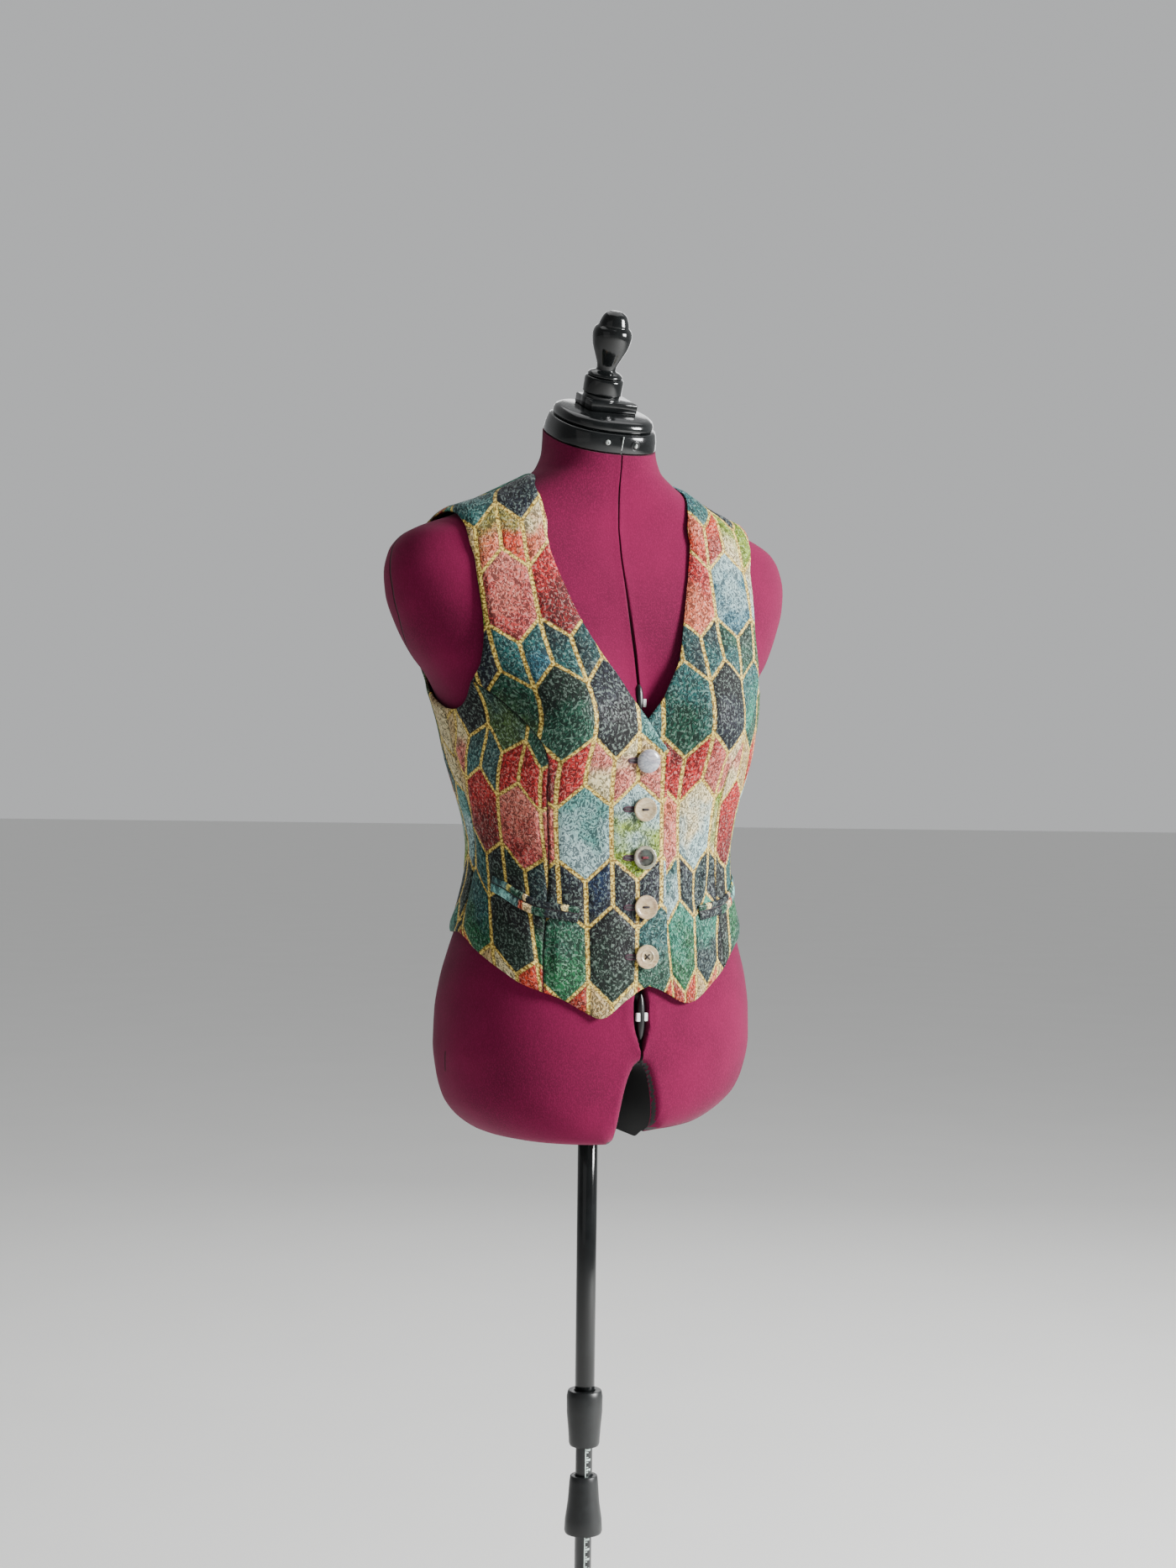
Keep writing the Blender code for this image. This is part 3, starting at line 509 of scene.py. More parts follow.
def body(at, turn, z, out, spread):
    """Points of a body surface. Turn is 0 in front, +1 at the wearer's left side."""
    turn = np.asarray(turn, float)
    z = np.asarray(z, float) + 0 * turn
    size = at(z)
    half = size[..., 0]
    middle = size[..., 3]
    side = np.sin(turn * math.pi / 2)
    ahead = np.cos(turn * math.pi / 2)
    x = half * np.sign(side) * np.abs(side) ** (2 / ROUNDNESS)
    deep = np.where(ahead >= 0, size[..., 1] - middle, size[..., 2] + middle)
    y = -middle - deep * np.sign(ahead) * np.abs(ahead) ** (2 / ROUNDNESS)
    fade = 1 - (1 - np.clip(ahead, 0, 1)) ** 3
    y = y - bust(x, z, out, spread) * fade
    return np.stack([x, y, z], -1)


def form_point(turn, z):
    return body(FORM_AT, turn, z, FORM_BUST_OUT, FORM_BUST_SPREAD)


def cloth_face(turn, z):
    return body(CLOTH_AT, turn, z, CLOTH_BUST_OUT, CLOTH_BUST_SPREAD)


def cloth_out(turn, z):
    """The way out from the cloth's inner face."""
    small = 0.004
    along = cloth_face(turn + small, z) - cloth_face(turn - small, z)
    up = cloth_face(turn, z + small / 4) - cloth_face(turn, z - small / 4)
    out = np.cross(along, up)
    return out / np.linalg.norm(out, axis=-1, keepdims=True)


def cloth_point(turn, z, out):
    turn = np.asarray(turn, float)
    z = np.asarray(z, float) + 0 * turn
    return cloth_face(turn, z) + cloth_out(turn, z) * np.asarray(out)[..., None]


def lap_lift(x):
    """The right front lies over the left one near the centre line."""
    t = np.clip((x + LAP_LIFT_FROM) / (LAP_LIFT_FROM - LAP_LIFT_TO), 0, 1)
    return LAP_LIFT * t * t * (3 - 2 * t)


def turn_of(x, z):
    """The turn of a front point of the cloth at x."""
    x = np.asarray(x, float)
    half = CLOTH_AT(z)[..., 0]
    share = np.clip(np.abs(x) / half, 0, 1) ** (ROUNDNESS / 2)
    return np.sign(x) * np.arcsin(share) * 2 / math.pi


def smooth(points, per=12):
    """A rounded line through points."""
    p = np.array(points, float)
    p = np.vstack([2 * p[0] - p[1], p, 2 * p[-1] - p[-2]])
    t = np.arange(per)[:, None] / per
    parts = []
    for a, b, c, d in zip(p[:-3], p[1:-2], p[2:-1], p[3:]):
        parts.append(
            b
            + 0.5 * t * (c - a)
            + t * t * (a - 2.5 * b + 2 * c - 0.5 * d)
            + t**3 * (1.5 * (b - c) + 0.5 * (d - a))
        )
    return np.vstack(parts + [p[-2:-1]])


def spread(line, count):
    """A line of turn and height, cut into equal lengths of cloth."""
    line = np.asarray(line, float)
    place = cloth_face(line[:, 0], line[:, 1])
    far = np.linalg.norm(np.diff(place, axis=0), axis=1)
    run = np.concatenate([[0.0], np.cumsum(far)])
    want = np.linspace(0, run[-1], count + 1)
    return np.stack([np.interp(want, run, line[:, k]) for k in (0, 1)], -1)


def joined(*lines):
    """Lines end to end, without the doubled points."""
    return np.vstack([lines[0]] + [line[1:] for line in lines[1:]])


def hem_z(turn, right):
    """Height of the hem on one side."""
    rows = smooth([(row[0], row[1] if right else row[2]) for row in HEM], 8)
    return np.interp(turn, rows[:, 0], rows[:, 1])


def hem_line(start, end, right):
    turn = np.linspace(start, end, 60)
    return np.stack([turn, hem_z(turn, right)], -1)


def fill(low, high, left, right):
    """A grid of turn and height between four edges that meet at the corners."""
    u = np.linspace(0, 1, len(low))[:, None, None]
    v = np.linspace(0, 1, len(left))[None, :, None]
    ruled = (1 - v) * low[:, None] + v * high[:, None]
    ruled = ruled + (1 - u) * left[None] + u * right[None]
    ends = (1 - u) * (1 - v) * low[0] + u * (1 - v) * low[-1]
    ends = ends + (1 - u) * v * high[0] + u * v * high[-1]
    return ruled - ends


def front_lines(right):
    """The edges of a front's two panels, as turn and height."""
    princess = smooth(PRINCESS)
    bottom = np.array([[PRINCESS[0][0], hem_z(PRINCESS[0][0], right)]])
    princess = np.vstack([bottom, princess[princess[:, 1] > bottom[0, 1] + 0.004]])
    edge_x = -FRONT_LAP
    hem_turn = turn_of(edge_x, 0.909)
    height = np.linspace(hem_z(hem_turn, right), V_SIDE[0][1], 40)
    front_edge = np.stack([turn_of(edge_x, height), height], -1)
    v_rows = smooth(V_SIDE)
    v_side = np.stack([turn_of(v_rows[:, 0], v_rows[:, 1]), v_rows[:, 1]], -1)
    rest = smooth([v_side[-1]] + list(NECKLINE))
    return {
        "princess": princess,
        "front_edge": front_edge,
        "v_side": v_side,
        "neckline": rest,
        "hem_turn": float(hem_turn),
    }


def inset(points, gap):
    """Draws the rim of a grid of points in by a gap, along the rows that meet it."""
    p = points.copy()
    for here, there in ((0, 1), (-1, -2)):
        way = points[there] - points[here]
        p[here] += gap * way / np.linalg.norm(way, axis=-1, keepdims=True)
    for here, there in ((0, 1), (-1, -2)):
        way = p[:, there] - p[:, here]
        p[:, here] += gap * way / np.linalg.norm(way, axis=-1, keepdims=True)
    return p

# colours of the yarns, red green blue as seen, 0 to 255
YARNS = {
    "navy": (16, 30, 54),
    "ink": (10, 18, 26),
    "denim": (34, 66, 106),
    "deepteal": (16, 58, 64),
    "teal": (48, 112, 112),
    "greyteal": (70, 104, 104),
    "paleteal": (108, 164, 160),
    "blueteal": (72, 130, 146),
    "turquoise": (48, 150, 128),
    "emerald": (20, 118, 74),
    "seagreen": (30, 98, 78),
    "bottle": (14, 56, 40),
    "olive": (86, 114, 62),
    "khaki": (162, 150, 78),
    "lime": (152, 174, 36),
    "ice": (178, 204, 206),
    "cream": (232, 216, 172),
    "beige": (206, 178, 128),
    "salmon": (222, 122, 88),
    "pink": (220, 132, 118),
    "rose": (196, 82, 80),
    "red": (196, 18, 24),
    "wine": (146, 10, 20),
    "orange": (216, 76, 30),
    "rust": (178, 58, 26),
    "gold": (222, 198, 132),
}

# the weave's repeat: rows of tall six-sided cells with chevron bands between them
CELL_WIDE = 0.050
CELL_TALL = 0.0935
CELL_POINT = 0.022
ROW_PITCH = 0.1165
ROWS = 5
CELL_COLUMNS = 6
BAND_COLUMNS = 10
SLANT_SHARE = 0.7507  # square distance to a slanted edge for each upright one
UPRIGHT_SHARE = 0.62  # half width of an upright outline, in shares of a slanted one
RIB_PITCH = 0.0013
TWILL_PITCH = 0.0011
FLOAT_LIFT = 0.00016

# colour order of each panel's rows, out from the centre line, low:high in a cell
CHART_FRONT_RIGHT = {
    "first": -1,
    "cells": (
        "seagreen:teal bottle:ink emerald:seagreen bottle:ink emerald seagreen",
        "pink:salmon lime:ice ice:paleteal rose:pink wine:red cream",
        "paleteal:teal ink:navy seagreen:bottle olive:seagreen ink cream",
        "teal red:orange wine:red rose:pink lime:khaki khaki",
        "teal deepteal navy:deepteal teal:seagreen turquoise navy",
    ),
    "first_band": -2,
    "bands": (
        "salmon orange cream beige orange:rust red:orange cream beige orange red",
        "ice navy navy:ink navy:denim ink:navy deepteal:ink ink bottle teal greyteal",
        "red pink:beige pink:cream cream:pink red wine:red red greyteal teal pink",
        "teal deepteal deepteal deepteal:teal teal:deepteal blueteal:teal teal navy ink teal",
        "cream salmon salmon cream:salmon salmon:cream orange:khaki salmon:khaki beige cream salmon",
        "khaki salmon orange salmon beige salmon orange beige salmon cream",
    ),
}
CHART_SIDE_RIGHT = {
    "first": 1,
    "cells": (
        "emerald:ink bottle:ink emerald:teal bottle emerald teal",
        "rose:pink rose:pink wine:red cream:beige pink ice",
        "seagreen olive:greyteal ink:navy beige:cream olive teal",
        "red pink lime teal red pink",
        "navy teal turquoise navy teal navy",
    ),
    "first_band": 3,
    "bands": (
        "orange red:orange cream beige orange rust beige cream orange red",
        "deepteal ink:bottle bottle:ink teal greyteal:teal deepteal ink teal navy teal",
        "red red greyteal teal:greyteal pink:cream beige red beige cream pink",
        "teal teal navy ink cream beige red cream beige pink",
        "cream salmon khaki beige cream salmon khaki beige cream salmon",
        "orange beige salmon cream orange beige salmon cream orange beige",
    ),
}
CHART_FRONT_LEFT = {
    "first": -1,
    "cells": (
        "seagreen:teal emerald:turquoise deepteal:turquoise ink:navy emerald teal",
        "lime pink:salmon ice:cream cream:lime rose:red beige",
        "teal seagreen:teal navy:ink turquoise:teal cream olive",
        "teal red salmon:red blueteal:ice ice:cream lime",
        "teal navy teal:blueteal navy:deepteal teal navy",
    ),
    "first_band": -2,
    "bands": (
        "cream orange orange:rust rust:orange cream:beige salmon beige orange cream rust",
        "navy deepteal ice:teal deepteal:navy deepteal navy:deepteal teal ink teal navy",
        "pink red:pink red:wine red pink:rose pink:cream cream beige red cream",
        "teal deepteal deepteal deepteal:teal teal:deepteal teal:seagreen seagreen:bottle olive teal navy",
        "salmon cream salmon salmon:orange orange:salmon rust:orange cream:lime lime salmon beige",
        "khaki salmon orange beige salmon salmon orange beige salmon cream",
    ),
}
CHART_AROUND = {
    "first": 0,
    "cells": (
        "emerald:teal bottle:ink seagreen:emerald deepteal:turquoise ink:navy emerald",
        "ice:cream rose:pink wine:red lime:ice ice:paleteal pink",
        "turquoise:teal navy:ink seagreen:teal olive cream:beige ink:navy",
        "blueteal:ice red:orange rose:pink lime:khaki salmon:red ice",
        "teal:blueteal navy:deepteal turquoise teal:seagreen navy deepteal",
    ),
    "first_band": 0,
    "bands": (
        "orange cream beige orange:rust red cream salmon beige rust cream",
        "deepteal navy:denim denim ink teal greyteal deepteal bottle teal navy",
        "pink:cream red wine:red cream:pink beige red pink greyteal cream red",
        "teal deepteal:teal deepteal blueteal teal navy seagreen teal ink deepteal",
        "salmon:khaki orange beige cream salmon khaki:salmon beige orange cream salmon",
        "khaki salmon orange beige salmon cream orange salmon beige cream",
    ),
}
CHARTS = {
    "front_right": CHART_FRONT_RIGHT,
    "side_right": CHART_SIDE_RIGHT,
    "front_left": CHART_FRONT_LEFT,
    "around": CHART_AROUND,
}


POCKET_CLOTH = {
    # share of the lip's length from its side end, and the yarn from there on
    "pocket_upper": (
        (0.0, "greyteal"),
        (0.13, "khaki"),
        (0.16, "bottle"),
        (0.26, "beige"),
        (0.285, "ink"),
        (0.52, "gold"),
        (0.56, "bottle"),
        (0.74, "gold"),
        (0.775, "ink"),
        (0.90, "navy"),
    ),
    "pocket_lower": (
        (0.0, "paleteal"),
        (0.17, "greyteal"),
        (0.24, "rust"),
        (0.27, "beige"),
        (0.33, "bottle"),
        (0.42, "ink"),
        (0.64, "bottle"),
        (0.70, "gold"),
        (0.74, "olive"),
        (0.80, "gold"),
        (0.86, "rust"),
        (0.90, "ink"),
    ),
}
POCKET_LENGTH = 0.15
STOP_BLEND = 0.004  # half width of a colour change on a lip


YARN_DEPTH = 1.25  # above 1, the darker yarns are dyed deeper


def seen(colour, gain=1.0, depth=1.0):
    """A colour from 0 to 255 as the shader's linear red, green, blue and alpha."""
    out = []
    for part in colour:
        value = part / 255
        value = value / 12.92 if value <= 0.04045 else ((value + 0.055) / 1.055) ** 2.4
        out.append(min(1.0, value**depth * gain))
    return (*out, 1.0)


class Value:
    """A number in a material, so that sums of numbers add their own Math nodes."""

    def __init__(self, nodes, socket):
        self.nodes = nodes
        self.socket = socket

    def __abs__(self):
        return self.nodes.maths("ABSOLUTE", self)

    def __lt__(self, other):
        return self.nodes.maths("LESS_THAN", self, other)

    def __gt__(self, other):
        return self.nodes.maths("GREATER_THAN", self, other)


def sign(operation, swapped=False):
    """What a plus, minus or other sign does between two values."""

    def apply(value, other):
        pair = (other, value) if swapped else (value, other)
        return value.nodes.maths(operation, *pair)

    return apply


SIGNS = {"add": "ADD", "sub": "SUBTRACT", "mul": "MULTIPLY", "truediv": "DIVIDE", "mod": "FLOORED_MODULO"}
for sign_name, operation_name in SIGNS.items():
    setattr(Value, f"__{sign_name}__", sign(operation_name))
    setattr(Value, f"__r{sign_name}__", sign(operation_name, True))


class Nodes:
    """Short calls that add nodes to a material."""

    def __init__(self, name):
        self.material = bpy.data.materials.new(name)
        self.material.use_nodes = True
        self.tree = self.material.node_tree
        self.shader = self.tree.nodes["Principled BSDF"]

    def put(self, socket, value):
        """Links a value to a socket, or sets it there."""
        if isinstance(value, Value):
            value = value.socket
        if isinstance(value, bpy.types.NodeSocket):
            self.tree.links.new(value, socket)
        else:
            socket.default_value = value

    def add(self, kind, **inputs):
        """A new node, with its inputs given by name."""
        node = self.tree.nodes.new("ShaderNode" + kind)
        for name, value in inputs.items():
            self.put(node.inputs[name.replace("_", " ")], value)
        return node

    def maths(self, operation, *values):
        node = self.add("Math")
        node.operation = operation
        for socket, value in zip(node.inputs, values):
            self.put(socket, value)
        return Value(self, node.outputs[0])

    def held(self, value, most):
        """A value kept between 0 and the most."""
        return self.maths("MINIMUM", self.maths("MAXIMUM", value, 0.0), most)

    def soft(self, value, low, high):
        """0 below low and 1 above high, with a smooth step between them."""
        node = self.add("MapRange", Value=value, From_Min=low, From_Max=high)
        node.interpolation_type = "SMOOTHSTEP"
        return Value(self, node.outputs["Result"])

    def mix(self, factor, a, b, blend="MIX"):
        node = self.add("Mix")
        node.data_type = "RGBA"
        node.blend_type = blend
        for k, value in ((0, factor), (6, a), (7, b)):
            self.put(node.inputs[k], value)
        return node.outputs[2]

    def noise(self, vector, scale, detail=2.0, stretch=(1, 1, 1), distortion=0.0):
        turn = self.add("Mapping", Scale=stretch, Vector=vector)
        inputs = {"Scale": scale, "Detail": detail, "Distortion": distortion}
        node = self.add("TexNoise", Vector=turn.outputs[0], **inputs)
        return Value(self, node.outputs[0])

    def place(self):
        """Object coordinates."""
        return self.add("TexCoord").outputs["Object"]

    def flat(self):
        """The cloth's own flat lengths, in metres."""
        node = self.add("UVMap")
        node.uv_map = "cloth"
        return node.outputs[0]

    def attribute(self, name):
        """A number kept on the mesh's points."""
        node = self.add("Attribute")
        node.attribute_name = name
        return Value(self, node.outputs["Fac"])

    def split(self, vector):
        return [Value(self, socket) for socket in self.add("SeparateXYZ", Vector=vector).outputs]

    def steps(self, factor, colours, total):
        """The colour at a whole number, from a list of at most 32."""
        node = self.add("ValToRGB")
        ramp = node.color_ramp
        ramp.interpolation = "CONSTANT"
        ramp.elements[0].color = colours[0]
        ramp.elements.remove(ramp.elements[1])
        for k, colour in enumerate(colours[1:], 1):
            ramp.elements.new(k / total).color = colour
        self.put(node.inputs[0], (factor + 0.5) / total)
        return node.outputs[0]

    def bump(self, height, strength=1.0):
        """Lifts the surface by a height in metres, in shading only."""
        node = self.add("Bump", Strength=strength, Distance=1.0, Height=height)
        self.put(self.shader.inputs["Normal"], node.outputs[0])

    def finish(self, colour, rough, **sockets):
        """Sets the shader's colour, roughness and other sockets."""
        sockets.update({"Base Color": colour, "Roughness": rough})
        for name, value in sockets.items():
            self.put(self.shader.inputs[name.replace("_", " ")], value)
        return self.material


def dyed(colour):
    """A colour set in the sidebar, as the shader takes it."""
    return seen(tuple(255 * part for part in colour))


def chart_colours(rows, part, gain):
    """The yarns of a chart's rows, in one line: part 0 is a cell's lower colour, 1 its upper."""
    pairs = [name.split(":") for row in rows for name in row.split()]
    return [seen(YARNS[pair[min(part, len(pair) - 1)]], gain, YARN_DEPTH) for pair in pairs]


def yarn_floats(n, flat, colour, settings):
    """Wiggly bright floats of yarn over a dark ground of the same colour."""
    noise = n.noise(flat, settings.float_scale, 1.0, (1.15, 0.85, 1), 0.9)
    ripple = abs(n.maths("FRACT", noise * 3.6) - 0.5)
    floats = n.soft(ripple, 0.14, 0.32)
    fleck = n.soft(n.noise(flat, 330, 1), 0.47, 0.60)
    bright = n.mix(1.0, colour, (1.35, 1.35, 1.30, 1.0), "MULTIPLY")
    bright = n.mix(fleck, bright, (0.095, 0.125, 0.105, 1.0), "ADD")
    dark = n.mix(1.0, colour, (0.36, 0.37, 0.38, 1.0), "MULTIPLY")
    return n.mix(floats, dark, bright), floats


def pocket_cloth(name, stops, settings):
    """The pocket lips' cloth, with its colours in order along the lip."""
    n = Nodes(name)
    flat = n.flat()
    along = n.split(flat)[0]
    ramp = n.add("ValToRGB")
    elements = ramp.color_ramp.elements
    elements[0].color = seen(YARNS[stops[0][1]])
    elements[1].position = 1.0
    elements[1].color = seen(YARNS[stops[-1][1]])
    before = stops[0][1]
    for at, colour in stops[1:]:
        elements.new(at - STOP_BLEND).color = seen(YARNS[before])
        elements.new(at + STOP_BLEND).color = seen(YARNS[colour])
        before = colour
    wander = (n.noise(flat, 260, 2) - 0.5) * 0.02
    n.put(ramp.inputs[0], along / POCKET_LENGTH + wander)
    yarn, floats = yarn_floats(n, flat, ramp.outputs[0], settings)
    n.bump(floats * FLOAT_LIFT, 0.9)
    return n.finish(yarn, 0.80 - floats * 0.26, Specular_IOR_Level=0.32)


def jacquard(name, chart, settings, wraps=False):
    """Cells and chevron bands outlined in gold, with wiggly yarn floats over a dark ground."""
    n = Nodes(name)
    m = n.maths
    flat = n.flat()
    s_raw, t_raw, _ = n.split(flat)
    shake = (n.noise(flat, 260, 2) - 0.5) * 0.0016
    row = (t_raw - shake) / ROW_PITCH + 1.0
    low_row = m("FLOOR", row)
    rise = (row - low_row) * ROW_PITCH
    odd = low_row % 2.0
    x = (s_raw + shake) / CELL_WIDE
    x_low = x - (1.0 - odd) * 0.5
    n_low = m("ROUND", x_low)
    n_high = m("ROUND", x - odd * 0.5)
    away = abs(x_low - n_low)
    in_low = CELL_TALL / 2 - away * (2 * CELL_POINT) - rise
    in_high = CELL_TALL / 2 - (1.0 - away * 2.0) * CELL_POINT - (ROW_PITCH - rise)
    is_low = in_low > 0.0
    is_high = in_high > 0.0
    in_cell = is_low + is_high
    in_band = 1.0 - in_cell
    slant = m("MINIMUM", abs(in_low), abs(in_high)) * SLANT_SHARE
    side_low = (0.5 - away) * CELL_WIDE
    side_high = away * CELL_WIDE
    narrow = m("MINIMUM", side_low, side_high)
    upright = is_low * side_low + is_high * side_high + in_band * narrow
    slant_far = slant - settings.outline / 2
    to_line = m("MINIMUM", slant_far, upright - settings.outline * UPRIGHT_SHARE)
    outline = n.soft(to_line, 0.0003, -0.0002)

    column = is_high * n_high + (1.0 - is_high) * n_low
    first = column - chart["first"]
    first_band = m("FLOOR", x * 2.0) - chart["first_band"]
    if wraps:
        first = first % CELL_COLUMNS
        first_band = first_band % BAND_COLUMNS
    else:
        first = n.held(first, CELL_COLUMNS - 1)
        first_band = n.held(first_band, BAND_COLUMNS - 1)
    cell = n.held(low_row + is_high, ROWS - 1) * CELL_COLUMNS + first
    band_row = n.held(low_row + 1.0, 5.0)
    upper_bands = band_row > 2.5
    band = (band_row - upper_bands * 3.0) * BAND_COLUMNS + first_band
    tones = []
    for part in (0, 1):
        rows = (chart["cells"], chart["bands"][:3], chart["bands"][3:])
        cells, low, high = (
            n.steps(place, chart_colours(names, part, settings.gain), 32)
            for place, names in zip((cell, band, band), rows)
        )
        tones.append(n.mix(in_cell, n.mix(upper_bands, low, high), cells))
    middle = is_high * ROW_PITCH + in_band * (ROW_PITCH / 2)
    height = (rise - middle) / CELL_TALL * (in_band * 0.7 + 1.0)
    shade = n.soft(height * 0.9 + (n.noise(flat, 34, 3) - 0.5) * 1.5, -0.22, 0.30)
    colour = n.mix(shade, *tones)

    yarn, floats = yarn_floats(n, flat, colour, settings)
    gold_fleck = n.soft(n.noise(flat, 420, 2), 0.42, 0.58)
    gold = n.mix(gold_fleck, dyed(settings.gold_dark), dyed(settings.gold))
    gold = n.mix(n.soft(to_line, -0.0012, 0.0001) * 0.6, gold, seen((70, 54, 22)))
    colour = n.mix(outline, yarn, gold)
    # painted shade: the sewn edges are darkened almost to black, for the shade that falls in the seams
    colour = n.mix(n.attribute("seam") * 0.78, colour, seen((16, 16, 18)))

    rib = m("SINE", s_raw * (2 * math.pi / RIB_PITCH))
    height = n.soft(to_line, -0.0006, 0.0040) * 0.0005 + floats * FLOAT_LIFT
    n.bump(height + rib * 0.00003, 0.9)
    sheen = {"Sheen_Weight": 0.04, "Sheen_Roughness": 0.4}
    return n.finish(colour, 0.80 - floats * 0.26, Specular_IOR_Level=0.32, **sheen)


def lining():
    """Dark satin lining with a fine diagonal twill and cream cloth turned in at the edges."""
    n = Nodes("lining_satin")
    s, t, _ = n.split(n.flat())
    twill = n.maths("SINE", (s + t) * (2 * math.pi / TWILL_PITCH))
    cloud = n.noise(n.flat(), 60, 3)
    satin = n.mix(cloud, seen((22, 20, 30)), seen((46, 34, 48)))
    fleck = n.soft(n.noise(n.flat(), 300, 2), 0.35, 0.65)
    cream = n.mix(fleck, seen((120, 84, 60)), seen((196, 168, 122)))
    colour = n.mix(n.soft(n.attribute("turned_in"), 0.45, 0.55), satin, cream)
    n.bump(twill * 0.00004, 0.6)
    return n.finish(colour, n.soft(cloud, -0.4, 1.6), Sheen_Weight=0.1)


def jersey(settings):
    """Knitted cover of the form: fine stitch, soft pile, seams and the slit down the front, with painted
    shade darkening the seams and blackening the slit.
    """
    n = Nodes("form_jersey")
    place = n.place()
    cloud = n.noise(place, 9, 3)
    fine = n.noise(place, 900, 2, (1, 1, 0.6))
    pile = n.noise(place, 230, 3)
    base = tuple(255 * c for c in settings.jersey)
    deep = tuple(c * 0.80 for c in base)
    light = tuple(min(255, c * 1.10 + 6) for c in base)
    colour = n.mix(n.soft(cloud, 0.3, 0.7), seen(deep), seen(base))
    colour = n.mix(n.soft(fine, 0.42, 0.68) * 0.5, colour, seen(light))
    x, y, z = n.split(place)
    run = n.add("ValToRGB")
    low = COVER_SEAM[0][0]
    tall = COVER_SEAM[-1][0] - low
    stops = run.color_ramp.elements
    for height, _ in COVER_SEAM[1:-1]:
        stops.new((height - low) / tall)
    for stop, (_, back) in zip(stops, COVER_SEAM):
        stop.color = (back * 10, back * 10, back * 10, 1.0)
    n.put(run.inputs[0], (z - low) / tall)
    away = abs(y - Value(n, run.outputs[0]) / 10.0)
    seam = n.soft(away, 0.0021, 0.0006)
    seam = seam * (n.soft(abs(x), 0.036, 0.042) * n.soft(z, low, low + 0.02))
    # painted shade: the seam's line is darkened for the shade in its groove, which the bump below also
    # sinks
    colour = n.mix(seam, colour, seen((38, 4, 16)))
    hip = n.soft(abs(y + (z * 0.361 - 0.2848)), 0.0022, 0.0008)
    hip = hip * n.soft(abs(z - 0.8237), 0.0115, 0.0090) * n.soft(abs(x), 0.10, 0.12)
    colour = n.mix(hip * 0.8, colour, seen((36, 4, 16)))
    # painted shade: the slit's points are blackened for the dark gap down the front
    colour = n.mix(n.attribute("slit"), colour, seen((10, 6, 9)))
    n.bump(fine * 0.00016 + pile * 0.00022 - seam * 0.0009, 0.7)
    sheen = {"Sheen_Weight": 0.05, "Sheen_Roughness": 0.5}
    return n.finish(colour, 0.92, Specular_IOR_Level=0.2, **sheen)


def plastic(name, colour, rough, spread=0.10, scale=60, grain=0.00002):
    """Moulded plastic, lacquer or metal with faint unevenness and scuffs."""
    n = Nodes(name)
    cloud = n.noise(n.place(), scale, 4)
    fine = n.noise(n.place(), 1400, 1)
    light = tuple(min(255, c * 1.25 + 4) for c in colour)
    tone = n.mix(n.soft(cloud, 0.3, 0.75), seen(colour), seen(light))
    n.bump(fine * grain + cloud * (grain * 4), 0.5)
    return n.finish(tone, rough + (cloud - 0.5) * spread)


def ruled_tube():
    """Black rod with a pale scale: a line of ticks along one side."""
    n = Nodes("ruled_tube")
    place = n.place()
    x, y, z = n.split(place)
    from_line = n.maths("ARCTAN2", x, y * -1.0) + 0.25
    tick = abs(z % 0.010 - 0.005) < 0.0011
    small = abs(z % 0.005 - 0.0025) < 0.0005
    wide = abs(from_line - 0.32) < 0.34
    thin = abs(from_line - 0.16) < 0.18
    mark = n.maths("MAXIMUM", tick * wide, small * thin)
    mark = n.maths("MAXIMUM", mark, abs(from_line) < 0.07)
    mark = mark * n.soft(n.noise(place, 500, 3), 0.30, 0.42)
    black = n.mix(n.noise(place, 80, 3), seen((14, 16, 17)), seen((30, 34, 35)))
    colour = n.mix(mark, black, seen((196, 214, 206)))
    return n.finish(colour, mark * 0.3 + 0.28)


def pearl(name, colour, deep):
    """Shell button: soft bands of cream, grey and faint colour."""
    n = Nodes(name)
    bands = n.noise(n.place(), 130, 4, (1, 1, 2.4), 1.6)
    tint = n.noise(n.place(), 70, 2)
    tone = n.mix(n.soft(bands, 0.3, 0.7), seen(deep), seen(colour))
    tone = n.mix(n.soft(tint, 0.45, 0.7) * 0.15, tone, seen((150, 174, 166)))
    tone = n.mix(n.soft(tint, 0.52, 0.35) * 0.12, tone, seen((192, 150, 150)))
    n.bump(bands * 0.00006, 0.5)
    return n.finish(tone, bands * 0.14 + 0.16, Coat_Weight=0.5, Coat_Roughness=0.08)


def thread(name, colour):
    """Twisted sewing thread."""
    n = Nodes(name)
    ply = n.noise(n.place(), 1600, 2, (1, 1, 2))
    dark = tuple(c * 0.5 for c in colour)
    tone = n.mix(n.soft(ply, 0.35, 0.65), seen(dark), seen(colour))
    n.bump(ply * 0.00012, 0.8)
    return n.finish(tone, 0.7, Sheen_Weight=0.2)


def s_step(value, low, high):
    t = np.clip((value - low) / (high - low), 0, 1)
    return t * t * (3 - 2 * t)


def crowd(grid):
    """Adds rows close to a grid's four edges, so that the edges can be rounded."""
    for axis in (0, 1):
        count = grid.shape[axis]
        near = [0, 0.3, 0.7, 1.3]
        index = np.array(near + list(range(2, count - 2)) + [count - 1 - k for k in near[::-1]])
        low = np.floor(index).astype(int)
        low = np.minimum(low, count - 2)
        share = index - low
        shape = [1, 1, 1]
        shape[axis] = len(index)
        share = share.reshape(shape)
        grid = np.take(grid, low, axis) * (1 - share) + np.take(grid, low + 1, axis) * share
    return grid


def edge_far(points):
    """How far each point of a grid lies from the nearest edge, along the grid."""
    far = []
    for axis in (0, 1):
        step = np.linalg.norm(np.diff(points, axis=axis), axis=-1)
        run = np.cumsum(step, axis=axis)
        zero = np.zeros_like(np.take(run, [0], axis))
        run = np.concatenate([zero, run], axis=axis)
        whole = np.take(run, [-1], axis)
        far.append(np.minimum(run, whole - run))
    return np.minimum(far[0], far[1])


